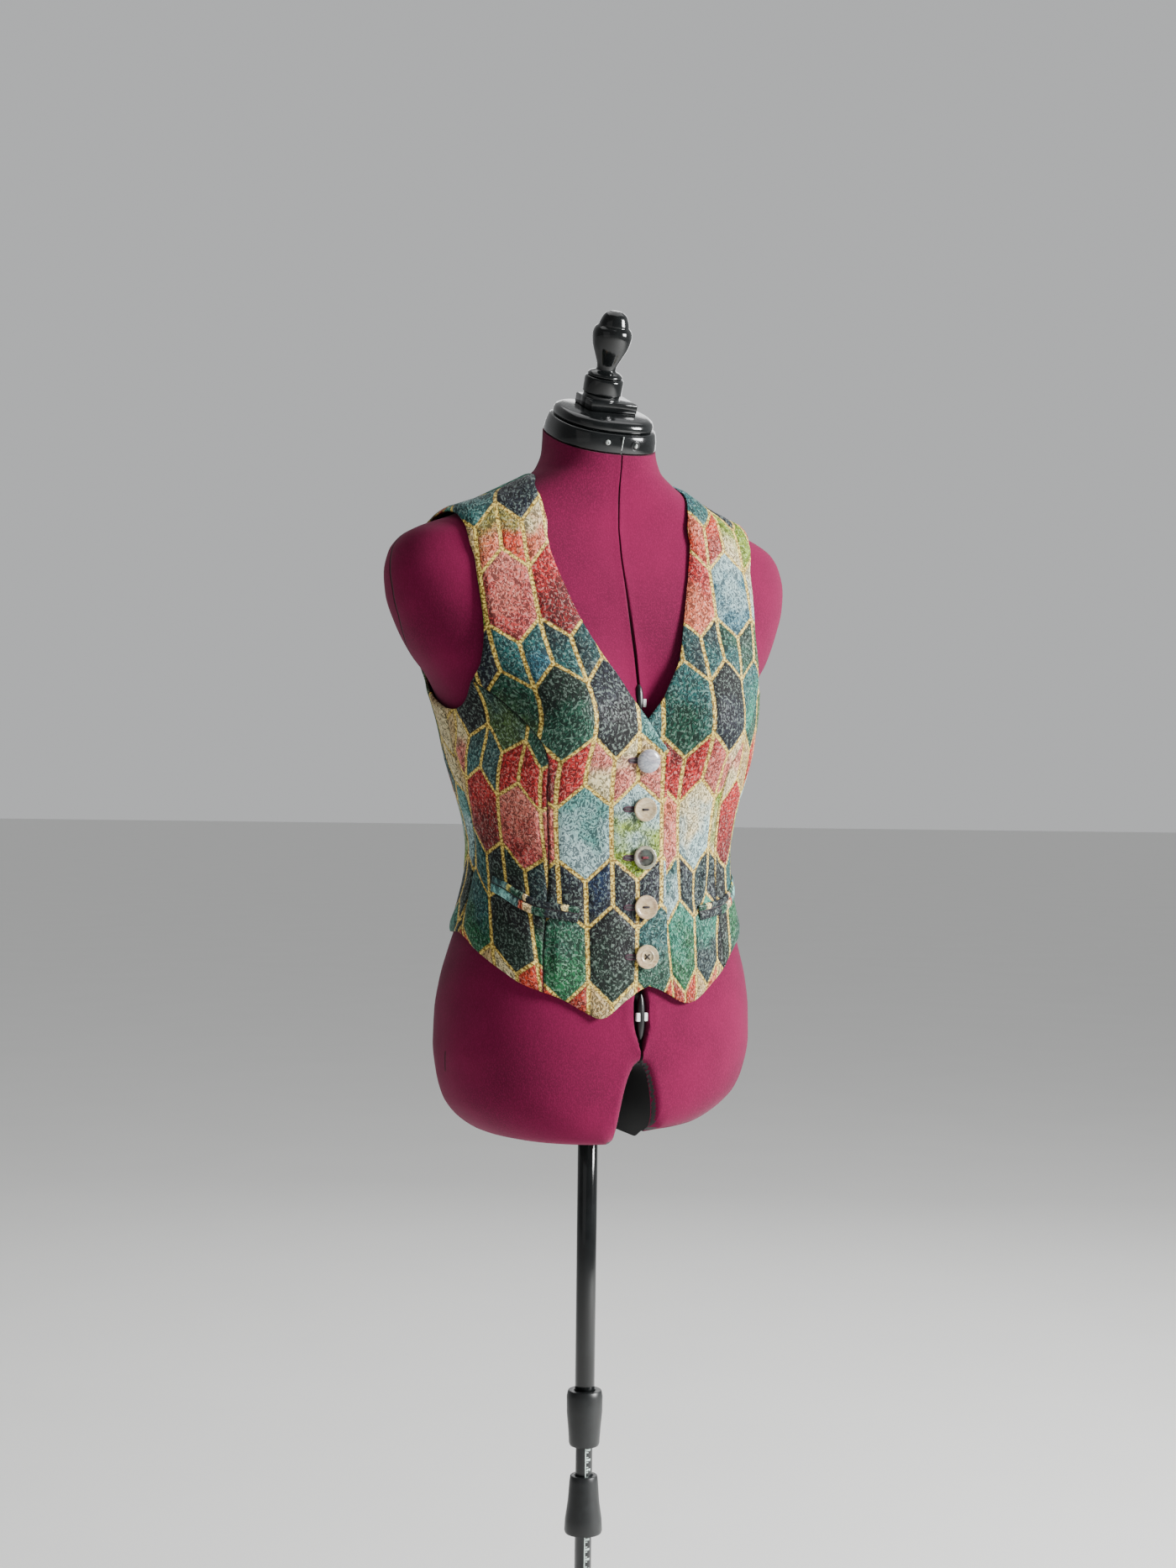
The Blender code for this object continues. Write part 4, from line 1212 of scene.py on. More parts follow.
# horizontal lengths of cloth from the centre front, a column for each turn
ARC_TURNS = np.linspace(-0.4, 2.2, 521)
ARC_HEIGHTS = np.linspace(0.86, 1.42, 113)


def arc_table():
    turn, z = np.meshgrid(ARC_TURNS, ARC_HEIGHTS, indexing="ij")
    place = cloth_point(turn, z, CLOTH_THICK + 0 * turn)
    run = np.linalg.norm(np.diff(place, axis=0), axis=-1)
    run = np.concatenate([np.zeros((1, len(ARC_HEIGHTS))), np.cumsum(run, axis=0)])
    start = np.argmin(np.abs(ARC_TURNS))
    return run - run[start]


ARC = arc_table()


def arc_at(turn, z):
    a = (turn - ARC_TURNS[0]) / (ARC_TURNS[1] - ARC_TURNS[0])
    b = (z - ARC_HEIGHTS[0]) / (ARC_HEIGHTS[1] - ARC_HEIGHTS[0])
    i = np.clip(np.floor(a).astype(int), 0, len(ARC_TURNS) - 2)
    j = np.clip(np.floor(b).astype(int), 0, len(ARC_HEIGHTS) - 2)
    a = a - i
    b = b - j
    low = ARC[i, j] * (1 - a) + ARC[i + 1, j] * a
    high = ARC[i, j + 1] * (1 - a) + ARC[i + 1, j + 1] * a
    return low * (1 - b) + high * b


FLAT_FROM_Z = 1.05
FLAT_FITS = {
    # shares of 1, across, up, across * up, up^2, across * up^2 and up^3, for across and for up
    "front_right": (
        (-0.0057, 0.9341, -0.0119, -0.3914, -0.3069, 2.7744),
        (-0.0009, 0.0502, 0.9649, 0.5172, -0.0432, 0.0, -0.0839),
    ),
    "front_left": (
        (-0.0225, 1.1651, 0.125, -2.6028, -0.6478, 9.2691),
        (0.0037, -0.1518, 0.981, 0.5594, -0.0392, 0.0, 0.0943),
    ),
    "side_right": ((-0.0428, 1.1796, -0.1338), (0.0448, -0.3993, 1.1497)),
    "side_left": ((-0.0300, 1.10, -0.05), (0.0200, -0.24, 1.05)),
}


def flat_piece(piece):
    """The flat lengths of a front piece: across from the centre line, and up from a row."""

    def lengths(turn, z):
        a = arc_at(turn, z)
        y = z - FLAT_FROM_Z
        terms = (1.0, a, y, a * y, y**2, a * y**2, y**3)
        return [sum(share * term for share, term in zip(fit, terms)) for fit in FLAT_FITS[piece]]

    return lengths


def flat_back(turn, z):
    """The flat lengths of the back, across from the centre back."""
    middle = arc_at(np.full_like(turn, 2.0), z)
    across = arc_at(np.minimum(turn, 4 - turn), z) - middle
    return across * np.where(turn > 2, -1, 1), z - FLAT_FROM_Z


# soft folds: side, from turn and height, to turn and height, half width, depth
FOLDS = (
    ("right", (0.395, 0.958), (0.385, 0.905), 0.0060, -0.0022),
    ("right", (0.345, 0.955), (0.330, 0.900), 0.0080, 0.0012),
    ("right", (0.470, 0.955), (0.470, 0.915), 0.0090, 0.0012),
    ("right", (0.560, 1.020), (0.420, 1.030), 0.0070, -0.0012),
    ("right", (0.640, 1.045), (0.450, 1.052), 0.0080, 0.0010),
    ("right", (0.720, 1.030), (0.560, 1.040), 0.0070, -0.0014),
    ("right", (0.410, 1.124), (0.350, 1.112), 0.0050, -0.0016),
    ("right", (0.600, 1.165), (0.520, 1.110), 0.0110, -0.0014),
    ("right", (0.300, 1.275), (0.240, 1.205), 0.0150, -0.0012),
    ("right", (0.860, 1.120), (0.800, 1.060), 0.0090, -0.0012),
    ("right", (0.230, 0.985), (0.240, 0.905), 0.0120, -0.0010),
    ("left", (0.330, 1.030), (0.250, 0.975), 0.0055, -0.0020),
    ("left", (0.420, 1.035), (0.320, 0.975), 0.0060, -0.0020),
    ("left", (0.380, 1.030), (0.290, 0.972), 0.0050, 0.0012),
    ("left", (0.520, 1.040), (0.430, 0.980), 0.0070, -0.0016),
    ("left", (0.395, 0.968), (0.385, 0.915), 0.0070, -0.0018),
    ("left", (0.410, 1.124), (0.350, 1.110), 0.0050, -0.0012),
    ("left", (0.300, 1.280), (0.240, 1.215), 0.0150, -0.0011),
    ("left", (0.700, 1.040), (0.560, 1.050), 0.0080, -0.0013),
    ("left", (0.860, 1.125), (0.790, 1.070), 0.0090, -0.0012),
    ("back", (1.250, 1.020), (1.550, 1.030), 0.0080, -0.0018),
    ("back", (1.300, 1.048), (1.620, 1.052), 0.0090, 0.0014),
    ("back", (1.500, 0.995), (1.900, 1.000), 0.0090, -0.0016),
    ("back", (2.450, 1.022), (2.750, 1.012), 0.0080, -0.0017),
    ("back", (2.150, 0.998), (2.480, 0.990), 0.0085, -0.0015),
    ("back", (2.350, 1.052), (2.700, 1.048), 0.0090, 0.0013),
    ("back", (1.520, 1.230), (1.700, 1.160), 0.0140, -0.0015),
    ("back", (2.480, 1.225), (2.300, 1.150), 0.0140, -0.0015),
    ("back", (2.000, 1.360), (2.000, 0.960), 0.0040, -0.0006),
)


FOLD_DEPTH = 1.5  # all folds deeper or shallower by this share


def folds(side, turn, z):
    """How far the folds move the cloth out or in."""
    across = arc_at(np.minimum(turn, 4 - turn), z)
    across = np.where(turn > 2, 2 * arc_at(np.full_like(turn, 2.0), z) - across, across)
    out = np.zeros_like(turn)
    for name, start, end, half, depth in FOLDS:
        if name != side:
            continue
        ends = []
        for q, h in (start, end):
            a = arc_at(np.array(min(q, 4 - q)), np.array(h))
            if q > 2:
                a = 2 * arc_at(np.array(2.0), np.array(h)) - a
            ends.append((float(a), h))
        (a0, h0), (a1, h1) = ends
        along = np.array([a1 - a0, h1 - h0])
        size = np.linalg.norm(along)
        along = along / size
        u = (across - a0) * along[0] + (z - h0) * along[1]
        v = (across - a0) * -along[1] + (z - h0) * along[0]
        share = u / size
        bend = 0.18 * half * np.sin(share * 5.0)
        body_of = np.clip(1.0 - (2 * share - 1) ** 2, 0, 1) ** 0.7
        out = out + FOLD_DEPTH * depth * body_of * np.exp(-(((v - bend) / half) ** 2))
    return out


def line_far(s, t, outline):
    """Distance to the weave's outlines at flat lengths, below 0 on an outline."""
    row = t / ROW_PITCH + 1
    low = np.floor(row)
    rise = (row - low) * ROW_PITCH
    x = s / CELL_WIDE - 0.5 * (1 - np.mod(low, 2))
    away = np.abs(x - np.round(x))
    in_low = CELL_TALL / 2 - 2 * CELL_POINT * away - rise
    in_high = CELL_TALL / 2 - CELL_POINT * (1 - 2 * away) - (ROW_PITCH - rise)
    slant = np.minimum(np.abs(in_low), np.abs(in_high)) * SLANT_SHARE
    side_low = (0.5 - away) * CELL_WIDE
    side_high = away * CELL_WIDE
    upright = np.where(in_high > 0, side_high, np.minimum(side_low, side_high))
    upright = np.where(in_low > 0, side_low, upright)
    return np.minimum(slant - outline / 2, upright - outline * UPRIGHT_SHARE)


def link(name, bm, materials):
    mesh = bpy.data.meshes.new(name)
    bm.to_mesh(mesh)
    bm.free()
    for material in materials:
        mesh.materials.append(material)
    obj = bpy.data.objects.new(name, mesh)
    bpy.context.scene.collection.objects.link(obj)
    mesh.shade_smooth()
    return obj


def carry(obj, body_name, slot, *nodes):
    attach(obj, body_name)
    if nodes:
        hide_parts(*nodes)
    return obj


def sheet_mesh(points, flat, flip=False, marks=None):
    """A flat grid moved onto its points, with its flat lengths kept as UVs."""
    nu, nv = points.shape[:2]
    bm = bmesh.new()
    layer = bm.loops.layers.uv.new("cloth")
    bmesh.ops.create_grid(bm, x_segments=nu - 1, y_segments=nv - 1, size=1.0)
    bm.verts.index_update()
    at = {}
    layers = [(bm.verts.layers.float.new(key), grid) for key, grid in (marks or {}).items()]
    for vert in bm.verts:
        i = round((vert.co.x + 1) / 2 * (nu - 1))
        j = round((vert.co.y + 1) / 2 * (nv - 1))
        at[vert.index] = (i, j)
        vert.co = points[i, j]
        for mark, grid in layers:
            vert[mark] = grid[i, j]
    for face in bm.faces:
        for loop in face.loops:
            loop[layer].uv = flat[at[loop.vert.index]]
    if flip:
        bmesh.ops.reverse_faces(bm, faces=bm.faces)
    return bm


def seam_mark(base, seams, low_rows, reach=0.0011):
    """1 at the sewn edges and 0 away from them: both, the outer one, or its lower part."""
    step = np.linalg.norm(np.diff(base, axis=0), axis=-1)
    run = np.concatenate([np.zeros((1, base.shape[1])), np.cumsum(step, axis=0)])
    whole = run[-1:]
    far = np.full(run.shape, 1.0)
    if "inner" in seams:
        far = np.minimum(far, run)
    if "outer" in seams:
        far = np.minimum(far, whole - run)
    mark = np.exp(-((far / reach) ** 2))
    rows = np.arange(base.shape[1])[None]
    return mark * (1 - s_step(rows, low_rows, low_rows + 3.0))


EDGE_ROLL = 0.0018  # how far the free edges roll in toward the form


def panel(name, node, grid, flat_of, settings, seams, low_rows):
    """A cut piece of jacquard with rounded edges, raised cells and soft folds."""
    right = name.endswith("right")
    side = "back" if name == "back_panel" else name.split("_")[1]
    grid = crowd(grid)
    turn = grid[..., 0]
    z = grid[..., 1]
    lift = np.zeros_like(turn)
    if name == "front_right":
        lift = lap_lift(-cloth_face(turn, z)[..., 0])
    s, t = flat_of(turn, z)
    base = cloth_point(turn, z, lift + CLOTH_THICK)
    far = edge_far(base)
    edge = 1 - s_step(far, 0.0, 0.0026)
    sewn = seam_mark(base, seams, low_rows)
    inside = s_step(far, 0.001, 0.012)
    puffs = s_step(line_far(s, t, settings.outline), -0.001, 0.005) * s_step(far, 0.0, 0.004)
    moved = folds(side, turn, z) * inside
    roll = (1 - s_step(far, 0.0, 0.011)) * (1 - seam_mark(base, seams, low_rows, 0.012))
    roll = roll * s_step(np.abs(base[..., 0]), 0.045, 0.065)
    out = lift + CLOTH_THICK - 0.0007 * edge - 0.0003 * sewn
    out = out + settings.puff * puffs + moved - EDGE_ROLL * roll
    points = inset(cloth_point(turn, z, out), SEAM_INSET)
    if right:
        points = points * RIGHT_SIDE
    turned_in = 1 - s_step(far - 0.010 * s_step(z, 1.285, 1.31), 0.008, 0.014)
    # the seam mark also paints the shade along the seams, in the jacquard material
    marks = {"seam": sewn, "turned_in": turned_in}
    bm = sheet_mesh(points, np.stack([s, t], -1), flip=right, marks=marks)
    mats = bpy.data.materials
    cloth = mats.get(f"jacquard_{name}") or mats["jacquard_around"]
    obj = link(name, bm, [cloth, mats["lining_satin"]])
    wall = obj.modifiers.new("wall", "SOLIDIFY")
    wall.thickness = settings.thickness
    wall.offset = -1.0
    wall.material_offset = 1
    wall.material_offset_rim = 0
    wall.use_even_offset = False
    carry(obj, "form", "jacquard", node)
    step_u = np.linalg.norm(np.diff(base, axis=0), axis=-1)
    step_v = np.linalg.norm(np.diff(base, axis=1), axis=-1)
    cells = 0.25 * (step_u[:, 1:] + step_u[:, :-1]) * (step_v[1:] + step_v[:-1])
    wide = float(s.max() - s.min())
    tall = float(t.max() - t.min())
    obj["flat"] = (wide, tall, min(float(cells.sum()), wide * tall))


def baked(obj):
    """The final mesh of a helper object, which is then removed."""
    bpy.context.view_layer.update()
    graph = bpy.context.evaluated_depsgraph_get()
    mesh = bpy.data.meshes.new_from_object(obj.evaluated_get(graph))
    bm = bmesh.new()
    bm.from_mesh(mesh)
    bpy.data.meshes.remove(mesh)
    return bm


def tube_mesh(path, radius, closed=False):
    """A round strand along a path, as a mesh."""
    curve = bpy.data.curves.new("strand", "CURVE")
    curve.dimensions = "3D"
    spline = curve.splines.new("POLY")
    spline.points.add(len(path) - 1)
    for point, place in zip(spline.points, path):
        point.co = (*place, 1.0)
    spline.use_cyclic_u = closed
    curve.bevel_depth = radius
    curve.bevel_resolution = 2
    curve.use_fill_caps = not closed
    holder = bpy.data.objects.new("strand", curve)
    bpy.context.scene.collection.objects.link(holder)
    bm = baked(holder)
    bpy.data.objects.remove(holder)
    bpy.data.curves.remove(curve)
    return bm


def merged(*parts):
    """Several meshes as one."""
    whole = bmesh.new()
    for part in parts:
        mesh = bpy.data.meshes.new("part")
        part.to_mesh(mesh)
        part.free()
        whole.from_mesh(mesh)
        bpy.data.meshes.remove(mesh)
    return whole


def turned(profile, steps, frame_of=None, bore=None):
    """A turned piece about Z, spun from a profile of radius and height."""
    bm = bmesh.new()
    rows = list(profile)
    if bore is not None:
        rows = rows + [(bore, rows[-1][1]), (bore, rows[0][1]), rows[0]]
    else:
        rows = [(0.0, rows[0][1])] + rows + [(0.0, rows[-1][1])]
    verts = [bm.verts.new((radius, 0.0, z)) for radius, z in rows]
    edges = [bm.edges.new(pair) for pair in zip(verts[:-1], verts[1:])]
    bmesh.ops.spin(
        bm,
        geom=verts + edges,
        cent=(0, 0, 0),
        axis=(0, 0, 1),
        dvec=(0, 0, 0),
        angle=2 * math.pi,
        steps=steps,
        use_merge=True,
    )
    bmesh.ops.remove_doubles(bm, verts=bm.verts, dist=1e-6)
    bmesh.ops.recalc_face_normals(bm, faces=bm.faces)
    if frame_of is not None:
        bmesh.ops.transform(bm, matrix=frame_of, verts=bm.verts)
    return bm


def soft_edges(obj, width=0.0006, degrees=32, segments=2):
    """Rounds a hard piece's sharp edges."""
    mod = obj.modifiers.new("soft_edges", "BEVEL")
    mod.width = width
    mod.segments = segments
    mod.limit_method = "ANGLE"
    mod.angle_limit = math.radians(degrees)
    mod.harden_normals = False
    return obj


def leaning(origin):
    """A frame at a point, tilted as the neck's cut is."""
    return Matrix.Translation(origin) @ Matrix.Rotation(math.radians(NECK_TILT_DEG), 4, "X")


class ClothSettings(bpy.types.PropertyGroup):
    thickness: FloatProperty(
        name="Cloth thickness",
        description="Jacquard with its lining",
        default=0.0016,
        min=0.0008,
        max=0.002,
        unit="LENGTH",
    )
    puff: FloatProperty(
        name="Cell height",
        description="How far a woven cell stands above its outline",
        default=0.0005,
        min=0.0,
        max=0.001,
        unit="LENGTH",
    )
    outline: FloatProperty(
        name="Outline width",
        description="Width of the gold outlines on slanted edges",
        default=0.0034,
        min=0.001,
        max=0.006,
        unit="LENGTH",
    )
    float_scale: FloatProperty(
        name="Yarn float scale",
        description="Yarn floats to a metre, higher is finer",
        default=200.0,
        min=100.0,
        max=2000.0,
    )
    gain: FloatProperty(
        name="Yarn brightness",
        description="Brightness of the coloured yarns",
        default=0.60,
        min=0.2,
        max=2.0,
    )
    gold: FloatVectorProperty(
        name="Gold yarn",
        description="Pale gold of the outlines",
        subtype="COLOR",
        size=3,
        default=(0.93, 0.82, 0.42),
    )
    gold_dark: FloatVectorProperty(
        name="Dark gold yarn",
        description="Darker gold of the outlines",
        subtype="COLOR",
        size=3,
        default=(0.46, 0.35, 0.11),
    )


class FormSettings(bpy.types.PropertyGroup):
    jersey: FloatVectorProperty(
        name="Cover colour",
        description="Knitted cover of the form",
        subtype="COLOR",
        size=3,
        default=(0.425, 0.022, 0.215),
    )
    columns: IntProperty(
        name="Columns",
        description="Mesh columns round the form",
        default=176,
        min=64,
        max=240,
    )


class StandSettings(bpy.types.PropertyGroup):
    steps: IntProperty(
        name="Round steps",
        description="Sides of the turned pieces",
        default=64,
        min=24,
        max=128,
    )
    black: FloatVectorProperty(
        name="Black",
        description="Black of the lacquer and plastic",
        subtype="COLOR",
        size=3,
        default=(0.055, 0.062, 0.064),
    )


class StageSettings(bpy.types.PropertyGroup):
    distance: FloatProperty(
        name="Camera distance",
        description="From the pole to the camera",
        default=2.30,
        min=1.0,
        max=5.0,
        unit="LENGTH",
    )
    azimuth: FloatProperty(
        name="Camera azimuth",
        description="Angle of the camera round the form",
        default=math.radians(-26.0),
        subtype="ANGLE",
    )
    height: FloatProperty(
        name="Camera height",
        description="Height of the camera above the floor",
        default=1.095,
        unit="LENGTH",
    )
    floor: FloatVectorProperty(
        name="Floor colour",
        description="Plain pale floor",
        subtype="COLOR",
        size=3,
        default=(0.93, 0.93, 0.92),
    )
    floor_glow: FloatProperty(
        name="Floor glow",
        description="Light from below, as from a pale studio sweep",
        default=0.13,
        min=0.0,
        max=0.5,
    )


class WaistcoatSettings(bpy.types.PropertyGroup):
    cloth: PointerProperty(type=ClothSettings)
    form: PointerProperty(type=FormSettings)
    stand: PointerProperty(type=StandSettings)
    stage: PointerProperty(type=StageSettings)


class WAISTCOAT_OT_materials(bpy.types.Operator):
    """Makes every finish of the waistcoat, form and stand"""

    bl_idname = "waistcoat.materials"
    bl_label = "Finishes"

    def execute(self, context):
        look = context.scene.waistcoat
        for piece, chart in CHARTS.items():
            jacquard(f"jacquard_{piece}", chart, look.cloth, piece == "around")
        for name, stops in POCKET_CLOTH.items():
            pocket_cloth(name, stops, look.cloth)
        lining()
        jersey(look.form)
        for name, share, *rest in BLACKS:
            plastic(name, tuple(255 * c * share for c in look.stand.black), *rest)
        for name, colour, *rest in PLASTICS:
            plastic(name, colour, *rest)
        ruled_tube()
        for name, colour, deep in PEARLS:
            pearl(name, colour, deep)
        for name, colour in THREADS:
            thread(name, colour)
        return {"FINISHED"}


def dense_front(right):
    """The grid of a centre front panel."""
    lines = front_lines(right)
    left = joined(
        spread(lines["front_edge"], FRONT_EDGE_ROWS * FINER),
        spread(lines["v_side"], (FRONT_LOW_ROWS - FRONT_EDGE_ROWS) * FINER),
        spread(lines["neckline"], FRONT_HIGH_ROWS * FINER),
    )
    outer = joined(
        spread(lines["princess"], FRONT_LOW_ROWS * FINER),
        spread(smooth(ARMHOLE_FRONT), FRONT_HIGH_ROWS * FINER),
    )
    hem = hem_line(lines["hem_turn"], PRINCESS[0][0], right)
    low = spread(hem, FRONT_COLUMNS * FINER)
    shoulder = np.array([NECKLINE[-1], ARMHOLE_FRONT[-1]])
    high = spread(smooth(shoulder), FRONT_COLUMNS * FINER)
    return fill(low, high, left, outer)


def dense_side(right):
    """The grid of a side front panel."""
    left = spread(front_lines(right)["princess"], FRONT_LOW_ROWS * FINER)
    side = np.array([[1.0, hem_z(1.0, right)], ARMHOLE_UNDER[-1]])
    outer = spread(smooth(side, 40), FRONT_LOW_ROWS * FINER)
    low = spread(hem_line(PRINCESS[0][0], 1.0, right), SIDE_COLUMNS * FINER)
    high = spread(smooth(ARMHOLE_UNDER), SIDE_COLUMNS * FINER)
    return fill(low, high, left, outer)


def dense_back():
    """The grid of the back, whose rows run from one armhole's edge to the other's."""

    def mirrored(line):
        line = np.array(line, float)
        return np.stack([4 - line[:, 0], line[:, 1]], -1)[::-1]

    side = np.array([[1.0, hem_z(1.0, False)], ARMHOLE_BACK[0]])
    left = joined(
        spread(smooth(side, 40), FRONT_LOW_ROWS * BACK_FINER),
        spread(smooth(ARMHOLE_BACK), BACK_HIGH_ROWS * BACK_FINER),
    )
    shoulder = smooth([ARMHOLE_BACK[-1], NECKLINE[-1]])
    shoulder = spread(shoulder, BACK_SHOULDER_COLUMNS * BACK_FINER)
    neck = smooth(BACK_NECK)
    neck = spread(joined(neck, mirrored(neck)), BACK_NECK_COLUMNS * BACK_FINER)
    high = joined(shoulder, neck, mirrored(shoulder))
    hem = hem_line(1.0, 2.0, False)
    low = spread(joined(hem, mirrored(hem)), len(high) - 1)
    up = np.linspace(0, 1, len(left))[None]
    turn = low[:, :1] * (1 - up) + high[:, :1] * up
    half = np.minimum(turn, 4 - turn) - 1
    edge = left[None, :, 0]
    near = edge + (2 - edge) * half
    turn = np.where(turn <= 2, near, 4 - near)
    z = left[None, :, 1] + (low[:, 1:] - low[0, 1]) * (1 - up)
    z = z + (high[:, 1:] - high[0, 1]) * up**SHOULDER_BLEND
    return np.stack([turn, z], -1)


class WAISTCOAT_OT_panels(bpy.types.Operator):
    """Makes the five cut pieces of jacquard"""

    bl_idname = "waistcoat.panels"
    bl_label = "Cloth panels"

    def execute(self, context):
        look = context.scene.waistcoat.cloth
        low = FRONT_LOW_ROWS * FINER
        for side in ("right", "left"):
            name = f"front_{side}"
            grid = dense_front(side == "right")
            panel(name, f"centre_{name}", grid, flat_piece(name), look, ("outer",), low)
        sewn = ("inner", "outer")
        for side in ("right", "left"):
            name = f"side_{side}"
            grid = dense_side(side == "right")
            panel(name, f"side_front_{side}", grid, flat_piece(name), look, sewn, grid.shape[1] * 2)
        low = FRONT_LOW_ROWS * BACK_FINER
        panel("back_panel", "back", dense_back(), flat_back, look, sewn, low)
        return {"FINISHED"}


def surface_path(line, out, right=False, lift=0.0):
    """A line of turn and height laid on the cloth."""
    place = cloth_point(line[:, 0], line[:, 1], np.full(len(line), CLOTH_THICK + out) + lift)
    return place * RIGHT_SIDE if right else place


class WAISTCOAT_OT_pockets(bpy.types.Operator):
    """Makes the two lips of each jetted pocket and, between them, a dark tube that paints the shade in the
    slit
    """

    bl_idname = "waistcoat.pockets"
    bl_label = "Pockets"

    def execute(self, context):
        for side in ("right", "left"):
            for part in ("upper", "lower"):
                self.lip(side, part)
            line = smooth(POCKET_LINE, 6)
            # painted shade: a dark tube between the lips stands for the shade in the slit
            slit = tube_mesh(surface_path(line, 0.0004, side == "right"), 0.0011)
            dark = [bpy.data.materials["thread_dark"]]
            carry(link(f"pocket_slit_{side}", slit, dark), "form", "jacquard_edge")
        for name in ("front_right", "front_left", "side_right", "side_left", "back_panel"):
            if name.startswith("front"):
                side = name.split("_")[1]
        return {"FINISHED"}

    def lip(self, side, part):
        """A narrow fold of cloth above or below the slit."""
        line = spread(smooth(POCKET_LINE), 110)
        across = np.linspace(0, 1, 13)
        tall = LIP_TALL * (0.72 if part == "upper" else 0.95)
        low = LIP_GAP if part == "upper" else -LIP_GAP - tall
        turn = np.repeat(line[:, :1], len(across), axis=1)
        z = line[:, 1:] + low + across[None] * tall
        crown = np.sin(np.pi * np.clip(across, 0, 1)) ** 0.5
        ends = np.minimum(np.arange(len(line)), np.arange(len(line))[::-1]) / 3.0
        ends = np.clip(ends, 0, 1)[:, None] ** 0.5
        wave = 0.0002 * np.sin(line[:, :1] * 60) + 0.00015 * np.sin(line[:, :1] * 137)
        out = CLOTH_THICK + 0.0005 + (0.0012 * crown[None] + wave) * ends
        points = cloth_point(turn, z, out)
        step = np.linalg.norm(np.diff(points, axis=0), axis=-1)
        s = np.concatenate([np.zeros((1, len(across))), np.cumsum(step, axis=0)])
        t = np.broadcast_to(across[None] * tall, s.shape)
        right = side == "right"
        if right:
            points = points * RIGHT_SIDE
        bm = sheet_mesh(points, np.stack([s, t], -1), flip=right)
        obj = link(f"pocket_{part}_{side}", bm, [bpy.data.materials[f"pocket_{part}"]])
        wall = obj.modifiers.new("wall", "SOLIDIFY")
        wall.thickness = 0.0008
        wall.offset = -1.0
        carry(obj, "form", "jacquard_edge", f"pocket_{part}_lip_{side}")


def button_frame(z):
    """Where a button's stem meets the right front, with Z outward and X to the wearer's left."""
    turn = np.asarray(turn_of(BUTTON_X, z))
    lift = np.asarray(LAP_LIFT + CLOTH_THICK)
    place = Vector(cloth_point(turn, z, lift))
    out = Vector(cloth_out(turn, np.asarray(z)))
    out.rotate(Matrix.Rotation(math.radians(BUTTON_TURN_DEG), 3, "Z"))
    side = Vector((0, 0, 1)).cross(out).normalized()
    up = out.cross(side)
    turned_to = Matrix((side, up, out)).transposed().to_4x4()
    return Matrix.Translation(place) @ turned_to


BUTTON_SHAPES = {
    # radius and height, in shares of the button's radius
    "domed": (
        (0.20, 0.05),
        (0.20, 0.26),
        (0.72, 0.27),
        (0.93, 0.31),
        (1.0, 0.40),
        (0.97, 0.50),
        (0.86, 0.60),
        (0.66, 0.68),
        (0.38, 0.735),
        (0.12, 0.75),
    ),
    "dished": (
        (0.19, 0.05),
        (0.19, 0.27),
        (0.80, 0.27),
        (0.95, 0.30),
        (1.0, 0.385),
        (0.985, 0.455),
        (0.93, 0.495),
        (0.84, 0.49),
        (0.72, 0.44),
        (0.58, 0.405),
        (0.30, 0.385),
        (0.10, 0.38),
    ),
    "ringed": (
        (0.19, 0.05),
        (0.19, 0.27),
        (0.80, 0.27),
        (0.95, 0.30),
        (1.0, 0.385),
        (0.985, 0.455),
        (0.93, 0.49),
        (0.80, 0.475),
        (0.66, 0.445),
        (0.60, 0.445),
        (0.56, 0.47),
        (0.51, 0.47),
        (0.46, 0.42),
        (0.30, 0.40),
        (0.10, 0.40),
    ),
    "broad": (
        (0.19, 0.05),
        (0.19, 0.27),
        (0.80, 0.27),
        (0.95, 0.30),
        (1.0, 0.39),
        (0.985, 0.46),
        (0.93, 0.50),
        (0.84, 0.505),
        (0.74, 0.48),
        (0.70, 0.42),
        (0.66, 0.40),
        (0.30, 0.385),
        (0.10, 0.38),
    ),
}


def closed_sheet(points):
    """A grid that meets itself at the back, with its open ends filled."""
    bm = sheet_mesh(points, points[..., :2])
    bmesh.ops.remove_doubles(bm, verts=bm.verts, dist=1e-6)
    ends = [edge for edge in bm.edges if edge.is_boundary]
    if ends:
        bmesh.ops.holes_fill(bm, edges=ends, sides=0)
    bmesh.ops.recalc_face_normals(bm, faces=bm.faces)
    return bm


def block(size, at):
    """A box of a size, moved by a matrix."""
    bm = bmesh.new()
    bmesh.ops.create_cube(bm, size=1.0)
    bmesh.ops.scale(bm, verts=bm.verts, vec=size)
    bmesh.ops.transform(bm, verts=bm.verts, matrix=at)
    return bm


def button_body(kind, holes, steps=48):
    """A button about Z at the origin, with its holes cut through."""
    rows = [(r * BUTTON_RADIUS, h * BUTTON_RADIUS) for r, h in BUTTON_SHAPES[kind]]
    bm = turned(rows, steps)
    for x, y in holes:
        cutter = bmesh.new()
        hole = {"segments": 14, "radius1": 0.0010, "radius2": 0.0010, "depth": 0.0016}
        bmesh.ops.create_cone(cutter, cap_ends=True, **hole)
        place = (x, y, 0.40 * BUTTON_RADIUS + 0.0002)
        bmesh.ops.translate(cutter, verts=cutter.verts, vec=place)
        bm = cut_mesh(bm, cutter)
    return bm


